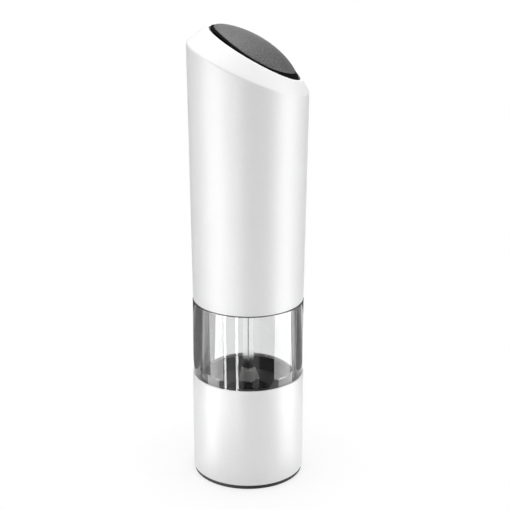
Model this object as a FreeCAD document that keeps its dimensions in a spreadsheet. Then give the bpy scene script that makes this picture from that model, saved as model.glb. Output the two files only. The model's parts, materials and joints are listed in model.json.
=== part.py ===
import FreeCAD, Part
import math
import os
import re

import Sketcher

# Battery pepper mill with a slanted push-button top.
# The mill stands on its foot ring at height zero, with its axis on +Z. The slanted top falls towards +X.
# Lengths are millimetres and angles degrees.

V = FreeCAD.Vector

DRIVING_SIZES = {
    # foot ring and base sleeve
    "foot_height": 2.0,
    "foot_inset": 0.5,
    "foot_width": 4.5,
    "foot_edge": 0.5,
    "base_radius": 26.5,
    "base_height": 49.0,
    "base_wall": 1.4,
    "base_edge": 0.35,
    # play between pieces that plug together, turn in each other or are screwed
    "slip_fit": 0.1,
    "running_fit": 0.06,
    "screw_play": 0.06,
    "seat_play": 0.2,
    # clear tank with a spigot in the base and a neck in the drive unit
    "window_height": 37.0,
    "window_inset": 0.25,
    "tank_wall": 4.0,
    "tank_edge": 0.3,
    "spigot_length": 5.0,
    "neck_length": 6.5,
    "neck_wall": 2.2,
    "neck_step": 1.2,
    "seal_section": 1.2,
    "seal_height": 3.2,
    # hopper funnel and burr tube of the grinder body
    "hopper_rim_drop": 0.2,
    "hopper_rim_land": 0.9,
    "hopper_step_radius": 17.5,
    "hopper_step_depth": 3.8,
    "hopper_step": 0.6,
    "throat_radius": 10.2,
    "throat_depth": 7.0,
    "throat_lip": 0.8,
    "hopper_flange": 1.6,
    "grinder_wall": 1.6,
    "burr_tube_wall": 3.4,
    # ceramic burrs
    "burr_radius": 13.0,
    "burr_height": 13.0,
    "burr_exit_radius": 10.9,
    "burr_waist_radius": 9.7,
    "burr_waist_height": 6.5,
    "burr_mouth_radius": 9.9,
    "burr_notch_depth": 0.9,
    "burr_notch_width": 2.4,
    "cone_radius": 10.4,
    "cone_shoulder_radius": 8.4,
    "cone_shoulder_height": 6.4,
    "cone_top_radius": 5.2,
    "cone_height": 13.9,
    "cone_lift": 0.6,
    "flute_depth": 1.3,
    "flute_width": 2.2,
    "flute_twist": 40.0,
    # bridge, adjusting knob and thrust pieces
    "bridge_height": 4.3,
    "bridge_ring_radius": 11.4,
    "bridge_drop": 1.8,
    "bridge_spoke": 3.0,
    "boss_radius": 4.6,
    "boss_length": 6.2,
    "knob_radius": 9.0,
    "knob_height": 7.5,
    "knob_lift": 3.2,
    "knob_grip_radius": 1.3,
    "stem_radius": 3.0,
    "stem_reach": 0.3,
    "washer_radius": 4.0,
    "washer_thickness": 0.8,
    "bush_radius": 3.8,
    "bush_wall": 1.2,
    "bush_length": 4.8,
    # square shaft and the feed hub on it
    "shaft_side": 4.0,
    "shaft_end_gap": 0.5,
    "shaft_entry": 0.6,
    "hub_height": 8.6,
    "hub_radius": 4.2,
    "hub_top_radius": 3.3,
    "hub_bore_play": 0.1,
    "fin_radius": 5.6,
    "fin_width": 1.2,
    # base plate with its outlet chute
    "plate_thickness": 2.2,
    "chute_wall": 1.4,
    "chute_gap": 0.2,
    "chute_top_gap": 0.4,
    "post_room": 0.85,
    "post_shift": 0.35,
    # screws
    "screw_radius": 1.0,
    "screw_head_radius": 1.9,
    "screw_head": 1.2,
    "screw_length": 9.0,
    "short_screw": 3.0,
    # drive frame
    "skirt_wall": 1.15,
    "skirt_lift": 0.6,
    "housing_play": 0.25,
    "deck_gap": 0.4,
    "deck_thickness": 1.8,
    "leg_width": 7.0,
    "leg_depth": 3.9,
    # two-stage planetary gear
    "gear_module": 0.6,
    "pressure_angle": 25.0,
    "gear_addendum": 0.54,
    "gear_dedendum": 0.69,
    "tooth_thinning": 0.07,
    "planet_width": 3.2,
    "gear_play": 0.2,
    "carrier_thickness": 1.6,
    "carrier_rim": 1.3,
    "pin_radius": 1.2,
    "case_wall": 2.3,
    "case_drop": 3.9,
    "cover_thickness": 1.4,
    "case_flange_width": 4.4,
    "case_flange": 1.5,
    "lid_thickness": 1.4,
    "output_hub_radius": 5.0,
    "output_hub_reach": 1.5,
    "socket_play": 0.1,
    # motor
    "motor_radius": 10.2,
    "motor_flat": 15.4,
    "motor_length": 20.0,
    "motor_cap_height": 2.2,
    "motor_cap_inset": 0.6,
    "motor_boss_radius": 3.1,
    "motor_shaft_radius": 1.0,
    "motor_shaft_depth": 5.0,
    "motor_screw_spread": 7.5,
    "terminal_width": 2.2,
    "terminal_thickness": 0.5,
    "terminal_height": 2.0,
    "terminal_spread": 5.5,
    # battery cage, cells and contacts
    "cage_gap": 0.6,
    "cage_plate": 1.6,
    "cage_inset": 0.15,
    "cage_core_radius": 14.5,
    "cage_bore": 4.0,
    "cell_radius": 5.25,
    "cell_length": 44.5,
    "cell_nub_radius": 2.75,
    "cell_nub_height": 0.9,
    "cell_circle": 15.9,
    "cell_play": 0.15,
    "contact_thickness": 0.5,
    "contact_width": 6.0,
    "board_thickness": 1.6,
    "board_inset": 1.4,
    "board_screw_circle": 10.2,
    # switch under the button
    "switch_length": 12.8,
    "switch_width": 5.8,
    "switch_height": 5.0,
    "plunger_radius": 1.5,
    "plunger_rise": 1.6,
    "plunger_depth": 1.4,
    "plunger_play": 0.3,
    # upper housing
    "sleeve_gap": 0.3,
    "housing_foot_radius": 26.1,
    "housing_flare": 0.83,
    "housing_wall": 1.5,
    "housing_edge": 0.3,
    "crease_tilt": 22.7,
    "crease_edge": 1.6,
    "rim_tilt": 29.2,
    "rim_radius": 21.6,
    "rim_rise": 6.6,
    "rim_edge": 0.35,
    "opening_radius": 20.5,
    "opening_offset": 2.85,
    "roof_rise": 0.8,
    # button well
    "well_play": 0.15,
    "well_setback": 0.2,
    "well_wall": 1.5,
    "well_collar": 3.0,
    "well_floor": 1.6,
    "well_depth": 16.4,
    # push button
    "button_gap": 0.8,
    "button_travel": 1.5,
    "button_lift": 2.2,
    "button_wall": 1.8,
    "button_crown": 1.8,
    "pad_thickness": 1.6,
    "pad_edge": 0.5,
    "dome_radius": 50.3,
    "dome_cross_radius": 30.0,
    "dome_back": 22.35,
    "dome_drop": 37.0,
    "button_post_radius": 4.0,
    "post_tail": 2.0,
    "spring_seat_radius": 7.2,
    "spring_seat_height": 10.4,
    "button_spring_wire": 0.7,
    "button_spring_radius": 5.5,
    "clip_thickness": 0.8,
    "clip_radius": 6.2,
    "clip_groove": 1.0,
    "clip_mouth": 5.0,
}

SUN_TEETH = 12
PLANET_TEETH = 15
RING_TEETH = SUN_TEETH + 2 * PLANET_TEETH
PLANETS = 3
CELLS = 6
BURR_NOTCHES = 18
BURR_FLUTES = 12
KNOB_GRIPS = 12
HUB_FINS = 5
SPRING_TURNS = 5
WIRE_SIDES = 6

# Sizes and heights that follow from the driving sizes, from the foot ring up to the rim of the top.
DERIVED_SIZES = {
    "foot_radius": "base_radius - foot_inset",
    "base_bore": "base_radius - base_wall",
    "base_top": "foot_height + base_height",
    "tank_radius": "base_radius - window_inset",
    "tank_bore": "tank_radius - tank_wall",
    "spigot_radius": "base_bore - slip_fit",
    "spigot_end": "base_top - spigot_length",
    "window_top": "base_top + window_height",
    "neck_top": "window_top + neck_length",
    "neck_radius": "min(frame_radius - skirt_wall - slip_fit; tank_radius - neck_step)",
    "neck_bore": "neck_radius - neck_wall",
    "seal_level": "window_top + seal_height",
    "seal_radius": "neck_radius + slip_fit / 2 - seal_section / 2",
    "hopper_radius": "tank_bore - slip_fit",
    "hopper_rim": "base_top - hopper_rim_drop",
    "throat_top": "hopper_rim - throat_depth",
    "burr_top": "throat_top - throat_lip",
    "burr_bottom": "burr_top - burr_height",
    "burr_seat_radius": "burr_radius + slip_fit",
    "burr_tube_radius": "burr_seat_radius + burr_tube_wall",
    "chute_bore": "burr_tube_radius + chute_gap",
    "chute_radius": "chute_bore + chute_wall",
    "base_screw_circle": "(chute_radius + spigot_radius) / 2 - post_shift",
    "post_radius": "(spigot_radius - chute_radius) / 2 - post_room",
    "plate_top": "foot_height + plate_thickness",
    "bridge_bottom": "burr_bottom - bridge_height",
    "bridge_hub_top": "burr_bottom - bridge_drop",
    "bridge_screw_circle": "burr_seat_radius + burr_tube_wall / 2",
    "stem_top": "bridge_hub_top + stem_reach",
    "knob_top": "knob_lift + knob_height",
    "washer_top": "stem_top + washer_thickness",
    "cone_bottom": "burr_bottom + cone_lift",
    "cone_top": "cone_bottom + cone_height",
    "cone_recess_top": "washer_top + bush_length",
    "cone_recess_radius": "bush_radius + seat_play",
    "shaft_bottom": "cone_recess_top + shaft_end_gap",
    "shaft_top": "carrier_two + shaft_entry",
    "hub_bottom": "cone_top + seat_play",
    "frame_radius": "housing_foot_radius - housing_wall - housing_play",
    "skirt_bore": "neck_radius + slip_fit",
    "deck_bottom": "neck_top + deck_gap",
    "deck_top": "deck_bottom + deck_thickness",
    "pitch_ring": "gear_module * %d / 2" % RING_TEETH,
    "planet_circle": "gear_module * %d / 2" % (SUN_TEETH + PLANET_TEETH),
    "carrier_radius": "planet_circle + pin_radius + carrier_rim",
    "case_radius": "pitch_ring + gear_dedendum + case_wall",
    "case_flange_radius": "case_radius + case_flange_width",
    "case_screw_circle": "case_radius + case_flange_width / 2",
    "case_bottom": "deck_bottom - case_drop",
    "gear_floor": "case_bottom + cover_thickness",
    "carrier_two": "gear_floor + gear_play",
    "planets_two": "carrier_two + carrier_thickness + gear_play",
    "carrier_one": "planets_two + planet_width + gear_play",
    "planets_one": "carrier_one + carrier_thickness + gear_play",
    "lid_bottom": "planets_one + planet_width + 2 * gear_play",
    "motor_bottom": "lid_bottom + lid_thickness",
    "motor_top": "motor_bottom + motor_length",
    "cap_top": "motor_top + motor_cap_height",
    "cage_bottom": "cap_top + terminal_height + cage_gap",
    "cage_floor": "cage_bottom + cage_plate",
    "cage_radius": "frame_radius - cage_inset",
    "cage_screw_circle": "frame_radius - leg_depth / 2",
    "contact_inside": "cell_circle * cos(30) - contact_width / 2",
    "cell_bottom": "cage_floor + contact_thickness",
    "cell_top": "cell_bottom + cell_length",
    "board_bottom": "cell_top + contact_thickness",
    "board_top": "board_bottom + board_thickness",
    "switch_top": "board_top + switch_height",
    "plunger_top": "switch_top + plunger_rise",
    "post_bottom": "plunger_top + plunger_play",
    "well_bottom": "post_bottom + post_tail",
    "well_top": "well_bottom + well_floor",
    "rim_level": "well_top + well_depth",
    "crease_level": "rim_level - rim_rise",
    "housing_foot": "window_top + sleeve_gap",
    "housing_bore": "housing_foot_radius - housing_wall",
    "crease_radius": "housing_foot_radius + tan(housing_flare) * (crease_level - housing_foot)",
    "crease_bend": "tan(housing_flare) * tan(crease_tilt)",
    "crease_centre": "-crease_radius * crease_bend / (1 - crease_bend ^ 2)",
    "trim_reach": "2 * crease_radius",
    "trim_drop": "trim_reach * tan(crease_tilt)",
    "dome_centre": "opening_offset - dome_back",
    "dome_level": "rim_level - dome_drop",
    "button_radius": "opening_radius - button_gap",
    "button_bottom": "well_top + button_lift",
    "spring_seat": "well_top + spring_seat_height",
    "clip_level": "well_bottom - seat_play - clip_thickness",
}

doc = FreeCAD.newDocument("pepper_mill")
sizes = doc.addObject("Spreadsheet::Sheet", "sizes")
for row, (name, size) in enumerate(DRIVING_SIZES.items(), start=1):
    sizes.set(f"A{row}", name)
    sizes.set(f"B{row}", str(size))
    sizes.setAlias(f"B{row}", name)
doc.recompute()

nodes = []


def expand(formula):
    """Writes a formula of plain size names as a formula of sheet cells."""

    def cell(match):
        word = match.group()
        if word in DERIVED_SIZES:
            return f"({expand(DERIVED_SIZES[word])})"
        return f"sizes.{word}" if word in DRIVING_SIZES else word

    return re.sub(r"[a-z]\w*", cell, formula)


def value(formula):
    """Gives the number that a formula has now."""
    return float(sizes.evalExpression(expand(formula)))


def new_body(label):
    body = doc.addObject("PartDesign::Body", label)
    body.Label = label
    return body


def keep(sub_part):
    """Adds a finished sub-part to the mill."""
    doc.recompute()
    nodes.append(sub_part)
    return sub_part


def origin_part(body, role):
    return next(part for part in body.Origin.OriginFeatures if part.Role == role)


def sketch_on(body, name, role, spin="0", **shift):
    """Starts a sketch on one of the body's origin planes, turned in it and shifted along its x, y or z."""
    sketch = body.newObject("Sketcher::SketchObject", name)
    sketch.AttachmentSupport = [(origin_part(body, role), "")]
    sketch.MapMode = "FlatFace"
    if spin != "0":
        sketch.AttachmentOffset = FreeCAD.Placement(V(0, 0, 0), FreeCAD.Rotation(V(0, 0, 1), value(spin)))
        sketch.setExpression("AttachmentOffset.Rotation.Angle", expand(spin))
    for axis, formula in shift.items():
        sketch.setExpression(f"AttachmentOffset.Base.{axis}", expand(formula))
    return sketch


def tie(sketch, kind, first, second, formula):
    """Adds a distance that follows the sheet, measured the way it is positive."""
    size = value(formula)
    if size < 0:
        first, second, formula, size = second, first, f"-({formula})", -size
    place = sketch.addConstraint(Sketcher.Constraint(kind, *first, *second, size))
    sketch.setExpression(f"Constraints[{place}]", expand(formula))


def tie_point(sketch, point, x, y):
    """Holds a point at formulas x and y from the sketch's origin."""
    origin = (-1, 1)
    for kind, formula, axis in (("DistanceX", x, -2), ("DistanceY", y, -1)):
        if formula == "0":
            sketch.addConstraint(Sketcher.Constraint("PointOnObject", *point, axis))
        else:
            tie(sketch, kind, origin, point, formula)


def add_polygon(sketch, corners):
    """Draws a closed outline of straight edges, with every corner tied to the sheet."""
    points = [V(value(x), value(y), 0) for x, y in corners]
    first = sketch.GeometryCount
    count = len(points)
    for i, point in enumerate(points):
        sketch.addGeometry(Part.LineSegment(point, points[(i + 1) % count]))
    for i in range(count):
        after = first + (i + 1) % count
        sketch.addConstraint(Sketcher.Constraint("Coincident", first + i, 2, after, 1))
    for i, (x, y) in enumerate(corners):
        tie_point(sketch, (first + i, 1), x, y)


def add_circle(sketch, x, y, radius):
    """Draws a circle whose centre and radius are tied to the sheet."""
    centre = V(value(x), value(y), 0)
    circle = sketch.addGeometry(Part.Circle(centre, V(0, 0, 1), value(radius)))
    tie_point(sketch, (circle, 3), x, y)
    place = sketch.addConstraint(Sketcher.Constraint("Radius", circle, value(radius)))
    sketch.setExpression(f"Constraints[{place}]", expand(radius))


def add_ellipse(sketch, half_length, half_width):
    """Draws an ellipse about the sketch's origin, its long axis along the sketch's x."""
    long_end = V(value(half_length), 0, 0)
    short_end = V(0, value(half_width), 0)
    ellipse = sketch.addGeometry(Part.Ellipse(long_end, short_end, V(0, 0, 0)))
    sketch.exposeInternalGeometry(ellipse)
    sketch.addConstraint(Sketcher.Constraint("Coincident", ellipse, 3, -1, 1))
    sketch.addConstraint(Sketcher.Constraint("Horizontal", ellipse + 1))
    for line, half in ((ellipse + 1, half_length), (ellipse + 2, half_width)):
        place = sketch.addConstraint(Sketcher.Constraint("Distance", line, 2 * value(half)))
        sketch.setExpression(f"Constraints[{place}]", expand(f"2 * ({half})"))


def circles_at(body, name, level, *circles):
    """A flat sketch at a height, holding circles given as x, y, radius."""
    sketch = sketch_on(body, name, "XY_Plane", z=level)
    for circle in circles:
        add_circle(sketch, *circle)
    return sketch


def add_feature(body, kind, name, sketch, length=None, **settings):
    """Adds a sketch-based feature, with a length tied to the sheet where it has one."""
    feature = body.newObject(f"PartDesign::{kind}", name)
    feature.Profile = sketch
    if length is not None:
        feature.setExpression("Length", expand(length))
    for setting, choice in settings.items():
        setattr(feature, setting, choice)
    body.Tip = feature
    return feature


def pad(body, sketch, length, **settings):
    return add_feature(body, "Pad", "pad", sketch, length, **settings)


def cut_up(body, sketch, length):
    """Cuts upwards from a flat sketch."""
    return add_feature(body, "Pocket", "pocket", sketch, length, Reversed=True)


def turn(body, corners):
    """Turns an outline of radius and height about the mill's axis."""
    sketch = sketch_on(body, "profile", "XZ_Plane")
    add_polygon(sketch, corners)
    return add_feature(body, "Revolution", "turning", sketch, ReferenceAxis=(sketch, ["V_Axis"]), Angle=360)


def turned_body(label, corners):
    body = new_body(label)
    turn(body, corners)
    doc.recompute()
    return body


def ring_of(body, features, count):
    """Repeats features evenly about the mill's axis."""
    pattern = body.newObject("PartDesign::PolarPattern", "ring")
    pattern.Originals = features
    pattern.Axis = (origin_part(body, "Z_Axis"), [""])
    pattern.Angle = 360
    pattern.Occurrences = count
    body.Tip = pattern
    doc.recompute()
    return pattern


def round_edges(body, size, wanted):
    """Rounds the edges of the body's last feature that the test picks."""
    doc.recompute()
    base = body.Tip
    edges = [f"Edge{i}" for i, edge in enumerate(base.Shape.Edges, start=1) if wanted(edge)]
    fillet = body.newObject("PartDesign::Fillet", "rounding")
    fillet.Base = (base, edges)
    fillet.setExpression("Radius", expand(size))
    body.Tip = fillet
    doc.recompute()


def on_circle(level, radius):
    """A test for the level circles about the mill's axis with this height and radius."""
    height = value(level)
    reach = value(radius)

    def wanted(edge):
        box = edge.BoundBox
        flat = abs(box.ZMin - height) + abs(box.ZMax - height) < 0.002
        return flat and abs(box.XMax - reach) < 0.002

    return wanted


def add_holes(body, level, x, y, radius, depth, count):
    """Cuts a ring of upright holes."""
    hole = cut_up(body, circles_at(body, "hole", level, (x, y, radius)), depth)
    doc.recompute()
    ring_of(body, [hole], count)


def square_at(body, name, level, side):
    """A square on its corner at a height, as the photographed shaft stands."""
    sketch = sketch_on(body, name, "XY_Plane", z=level)
    reach = f"({side}) / sqrt(2)"
    add_polygon(sketch, [(reach, "0"), ("0", reach), (f"-{reach}", "0"), ("0", f"-{reach}")])
    return sketch


def screw_ring(label, x, y, head_level, length, count, upwards=True):
    """A ring of identical screws: shank above the head seat, or below it."""
    body = new_body(label)
    head_from = f"({head_level}) - screw_head" if upwards else head_level
    shank_from = head_level if upwards else f"({head_level}) - ({length})"
    head = pad(body, circles_at(body, "head", head_from, (x, y, "screw_head_radius")), "screw_head")
    shank = pad(body, circles_at(body, "shank", shank_from, (x, y, "screw_radius")), length)
    doc.recompute()
    ring_of(body, [head, shank], count)
    return keep(body)


def arc_from(start, way, end):
    """The arc that leaves a start point along a way and reaches an end point."""
    chord = end - start
    side = (chord - way * chord.dot(way)).normalize()
    radius = chord.dot(chord) / (2 * chord.dot(side))
    centre = start + side * radius
    outwards = ((start + end) * 0.5 - centre).normalize()
    return Part.Arc(start, centre + outwards * radius, end).toShape()


def coil_path(radius, height, turns):
    """A helix about Z as biarcs, two arcs for each quarter turn."""

    def point(angle):
        rise = height * angle / (2 * math.pi * turns)
        return V(radius * math.cos(angle), radius * math.sin(angle), rise)

    def way(angle):
        rise = height / (2 * math.pi * turns)
        return V(-radius * math.sin(angle), radius * math.cos(angle), rise).normalize()

    edges = []
    for quarter in range(4 * turns):
        first, last = math.pi / 2 * quarter, math.pi / 2 * (quarter + 1)
        chord = point(last) - point(first)
        along = chord.dot(way(first) + way(last))
        bend = 2 * (1 - way(first).dot(way(last)))
        reach = (math.sqrt(along ** 2 + bend * chord.dot(chord)) - along) / bend
        meeting = (point(first) + way(first) * reach + point(last) - way(last) * reach) * 0.5
        edges.append(arc_from(point(first), way(first), meeting))
        edges.append(arc_from(point(last), way(last) * -1, meeting))
    return Part.Wire(Part.__sortEdges__(edges))


def spring_body(label, x, level, length, radius, wire, turns):
    """An upright coil spring of one six-sided wire, seated on a level."""
    rise = value(f"({length}) - ({wire})")
    path = coil_path(value(radius), rise, turns)
    corners = []
    for corner in range(WIRE_SIDES + 1):
        angle = 2 * math.pi * (corner + 0.5) / WIRE_SIDES
        corners.append(V(value(radius), 0, 0) + V(math.cos(angle), 0, math.sin(angle)) * (value(wire) / 2))
    shell = Part.BRepOffsetAPI.MakePipeShell(path)
    shell.add(Part.makePolygon(corners))
    shell.build()
    shell.makeSolid()
    coil = doc.addObject("Part::Feature", label)
    coil.Label = label
    coil.Shape = shell.shape()
    coil.Placement = FreeCAD.Placement(V(value(x), 0, value(f"{level} + ({wire}) / 2")), FreeCAD.Rotation())
    points = path.discretize(40 * turns)
    far = [a.distanceToPoint(b) for i, a in enumerate(points) for b in points[i + 30:]]
    print(f"{label}: {min(far) - value(wire):.2f} mm between its turns")
    return keep(coil)


def gear_blank(label, teeth, tip, root, thinning, level, height):
    """A spur gear with a tooth on +X: involute flanks as arcs, radial roots below the base circle."""
    pitch = value("gear_module") * teeth / 2
    slope = math.radians(value("pressure_angle"))
    base = pitch * math.cos(slope)
    half_tooth = math.pi / (2 * teeth) - thinning / (2 * pitch)

    def half_angle(radius):
        turn_back = math.acos(min(1.0, base / radius))
        return half_tooth + math.tan(slope) - slope - math.tan(turn_back) + turn_back

    def polar(radius, angle):
        return V(radius * math.cos(angle), radius * math.sin(angle), 0)

    start = max(base, root)
    middle = (start + tip) / 2
    edges = []
    for tooth in range(teeth):
        centre = 2 * math.pi * tooth / teeth
        foot = half_angle(start)
        left = [polar(r, centre - half_angle(r)) for r in (start, middle, tip)]
        right = [polar(r, centre + half_angle(r)) for r in (tip, middle, start)]
        root_left = polar(root, centre - foot)
        root_right = polar(root, centre + foot)
        next_root = polar(root, centre + 2 * math.pi / teeth - foot)
        if start > root:
            edges.append(Part.LineSegment(root_left, left[0]))
        edges.append(Part.Arc(*left))
        edges.append(Part.Arc(left[2], polar(tip, centre), right[0]))
        edges.append(Part.Arc(*right))
        if start > root:
            edges.append(Part.LineSegment(right[2], root_right))
        edges.append(Part.Arc(root_right, polar(root, centre + math.pi / teeth), next_root))
    outline = Part.Wire([edge.toShape() for edge in edges])
    gear = doc.addObject("Part::Feature", label)
    gear.Label = label
    gear.Shape = Part.Face(outline).extrude(V(0, 0, height))
    gear.Placement = FreeCAD.Placement(V(0, 0, level), FreeCAD.Rotation())
    return gear


def join(kind, label, base, tool):
    """Joins or cuts two shapes as one sub-part."""
    both = doc.addObject(f"Part::{kind}", label)
    both.Label = label
    both.Base = base
    both.Tool = tool
    return both


def domed_plug(label, radius, bottom, inset, bore=None):
    """An upright plug under the button's dome: a barrel surface sunk by an inset, about an axis along Y."""
    body = new_body(label)
    circles = [("opening_offset", "0", radius)]
    if bore is not None:
        circles.append(("opening_offset", "0", bore))
    top = "rim_level + dome_radius / 2"
    pad(body, circles_at(body, "plug", bottom, *circles), f"{top} - ({bottom})")
    sketch = sketch_on(body, "dome", "YZ_Plane", y="dome_level", z="dome_centre")
    half = "1.2 * opening_radius"
    neck = "dome_radius - dome_cross_radius"
    arc = f"dome_cross_radius - ({inset})"
    shoulder = f"{neck} + sqrt(({arc}) ^ 2 - ({half}) ^ 2)"
    ceiling = "2 * dome_radius"
    reach = value(half)
    low = value(shoulder)
    high = value(ceiling)
    crown = value(f"{neck} + {arc}")
    sketch.addGeometry(Part.Arc(V(-reach, low, 0), V(0, crown, 0), V(reach, low, 0)))
    corners = [V(reach, low, 0), V(reach, high, 0), V(-reach, high, 0), V(-reach, low, 0)]
    for start, end in zip(corners, corners[1:]):
        sketch.addGeometry(Part.LineSegment(start, end))
    arc_ends = sorted((1, 2), key=lambda end: sketch.getPoint(0, end).x)
    joins = [(1, 1, 0, arc_ends[1]), (1, 2, 2, 1), (2, 2, 3, 1), (3, 2, 0, arc_ends[0])]
    for one, one_end, two, two_end in joins:
        sketch.addConstraint(Sketcher.Constraint("Coincident", one, one_end, two, two_end))
    sketch.addConstraint(Sketcher.Constraint("Vertical", 1))
    sketch.addConstraint(Sketcher.Constraint("Vertical", 3))
    tie_point(sketch, (0, 3), "0", neck)
    place = sketch.addConstraint(Sketcher.Constraint("Radius", 0, value(arc)))
    sketch.setExpression(f"Constraints[{place}]", expand(arc))
    tie(sketch, "DistanceX", (-1, 1), (2, 1), half)
    tie(sketch, "DistanceY", (-1, 1), (2, 1), ceiling)
    tie(sketch, "DistanceX", (2, 2), (-1, 1), half)
    add_feature(body, "Groove", "crown", sketch, ReferenceAxis=(sketch, ["H_Axis"]), Angle=360)
    doc.recompute()
    return body


def trim_above(body, level, tilt):
    """Cuts everything above a plane that falls towards +X by a tilt."""
    sketch = sketch_on(body, "trim", "XZ_Plane", y=level)
    drop = f"trim_reach * tan({tilt})"
    ceiling = f"2 * trim_reach + {drop}"
    add_polygon(sketch, [("-trim_reach", drop), ("trim_reach", f"-({drop})"),
                         ("trim_reach", ceiling), ("-trim_reach", ceiling)])
    add_feature(body, "Pocket", "slant", sketch, Type="ThroughAll", SideType="Symmetric")
    doc.recompute()


def slanted_sketch(body, name, x, level, tilt):
    """A sketch on a plane that falls towards +X, with its origin at x and a level."""
    sketch = sketch_on(body, name, "XY_Plane")
    sketch.AttachmentOffset = FreeCAD.Placement(V(0, 0, 0), FreeCAD.Rotation(V(0, 1, 0), value(tilt)))
    sketch.setExpression("AttachmentOffset.Base.x", expand(x))
    sketch.setExpression("AttachmentOffset.Base.z", expand(level))
    sketch.setExpression("AttachmentOffset.Rotation.Angle", expand(tilt))
    return sketch


def make_base():
    """Foot ring, base sleeve and base plate with its chute and screws."""
    foot_bore = "foot_radius - foot_width"
    foot = turned_body("foot_ring", [(foot_bore, "0"), ("foot_radius", "0"), ("foot_radius", "foot_height"),
                                     (foot_bore, "foot_height")])
    round_edges(foot, "foot_edge", on_circle("0", "foot_radius"))
    keep(foot)

    sleeve = turned_body("base_sleeve", [("base_bore", "foot_height"), ("base_radius", "foot_height"),
                                         ("base_radius", "base_top"), ("base_bore", "base_top")])
    low_edge = on_circle("foot_height", "base_radius")
    high_edge = on_circle("base_top", "base_radius")
    round_edges(sleeve, "base_edge", lambda edge: low_edge(edge) or high_edge(edge))
    keep(sleeve)

    chute_top = "burr_bottom - chute_top_gap"
    plate = turned_body("base_plate", [("chute_bore", "foot_height"), ("spigot_radius", "foot_height"),
                                       ("spigot_radius", "plate_top"), ("chute_radius", "plate_top"),
                                       ("chute_radius", chute_top), ("chute_bore", chute_top)])
    hole = "screw_radius + screw_play"
    head_room = "screw_head_radius + slip_fit"
    head_depth = "screw_head + slip_fit"
    add_holes(plate, "foot_height", "base_screw_circle", "0", hole, "plate_thickness", 3)
    add_holes(plate, "foot_height", "base_screw_circle", "0", head_room, head_depth, 3)
    keep(plate)
    screw_ring("base_screws", "base_screw_circle", "0", f"foot_height + {head_depth}", "screw_length", 3)


def make_tank():
    """Clear tank and the seal in the groove of its neck."""
    groove_low = "seal_level - seal_section / 2 - slip_fit"
    groove_high = "seal_level + seal_section / 2 + slip_fit"
    groove_radius = "seal_radius - seal_section / 2 - slip_fit / 2"
    tank = turned_body("pepper_tank", [
        ("tank_bore", "spigot_end"), ("spigot_radius", "spigot_end"), ("spigot_radius", "base_top"),
        ("tank_radius", "base_top"), ("tank_radius", "window_top"), ("neck_radius", "window_top"),
        ("neck_radius", groove_low), (groove_radius, groove_low), (groove_radius, groove_high),
        ("neck_radius", groove_high), ("neck_radius", "neck_top"), ("neck_bore", "neck_top"),
        ("neck_bore", "window_top"), ("tank_bore", "window_top - (tank_bore - neck_bore)")])
    round_edges(tank, "tank_edge", on_circle("window_top", "tank_radius"))
    keep(tank)

    half = "seal_section / 2"
    keep(turned_body("tank_seal", [
        (f"seal_radius - {half}", f"seal_level - {half}"), (f"seal_radius + {half}", f"seal_level - {half}"),
        (f"seal_radius + {half}", f"seal_level + {half}"), (f"seal_radius - {half}", f"seal_level + {half}")]))


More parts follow.
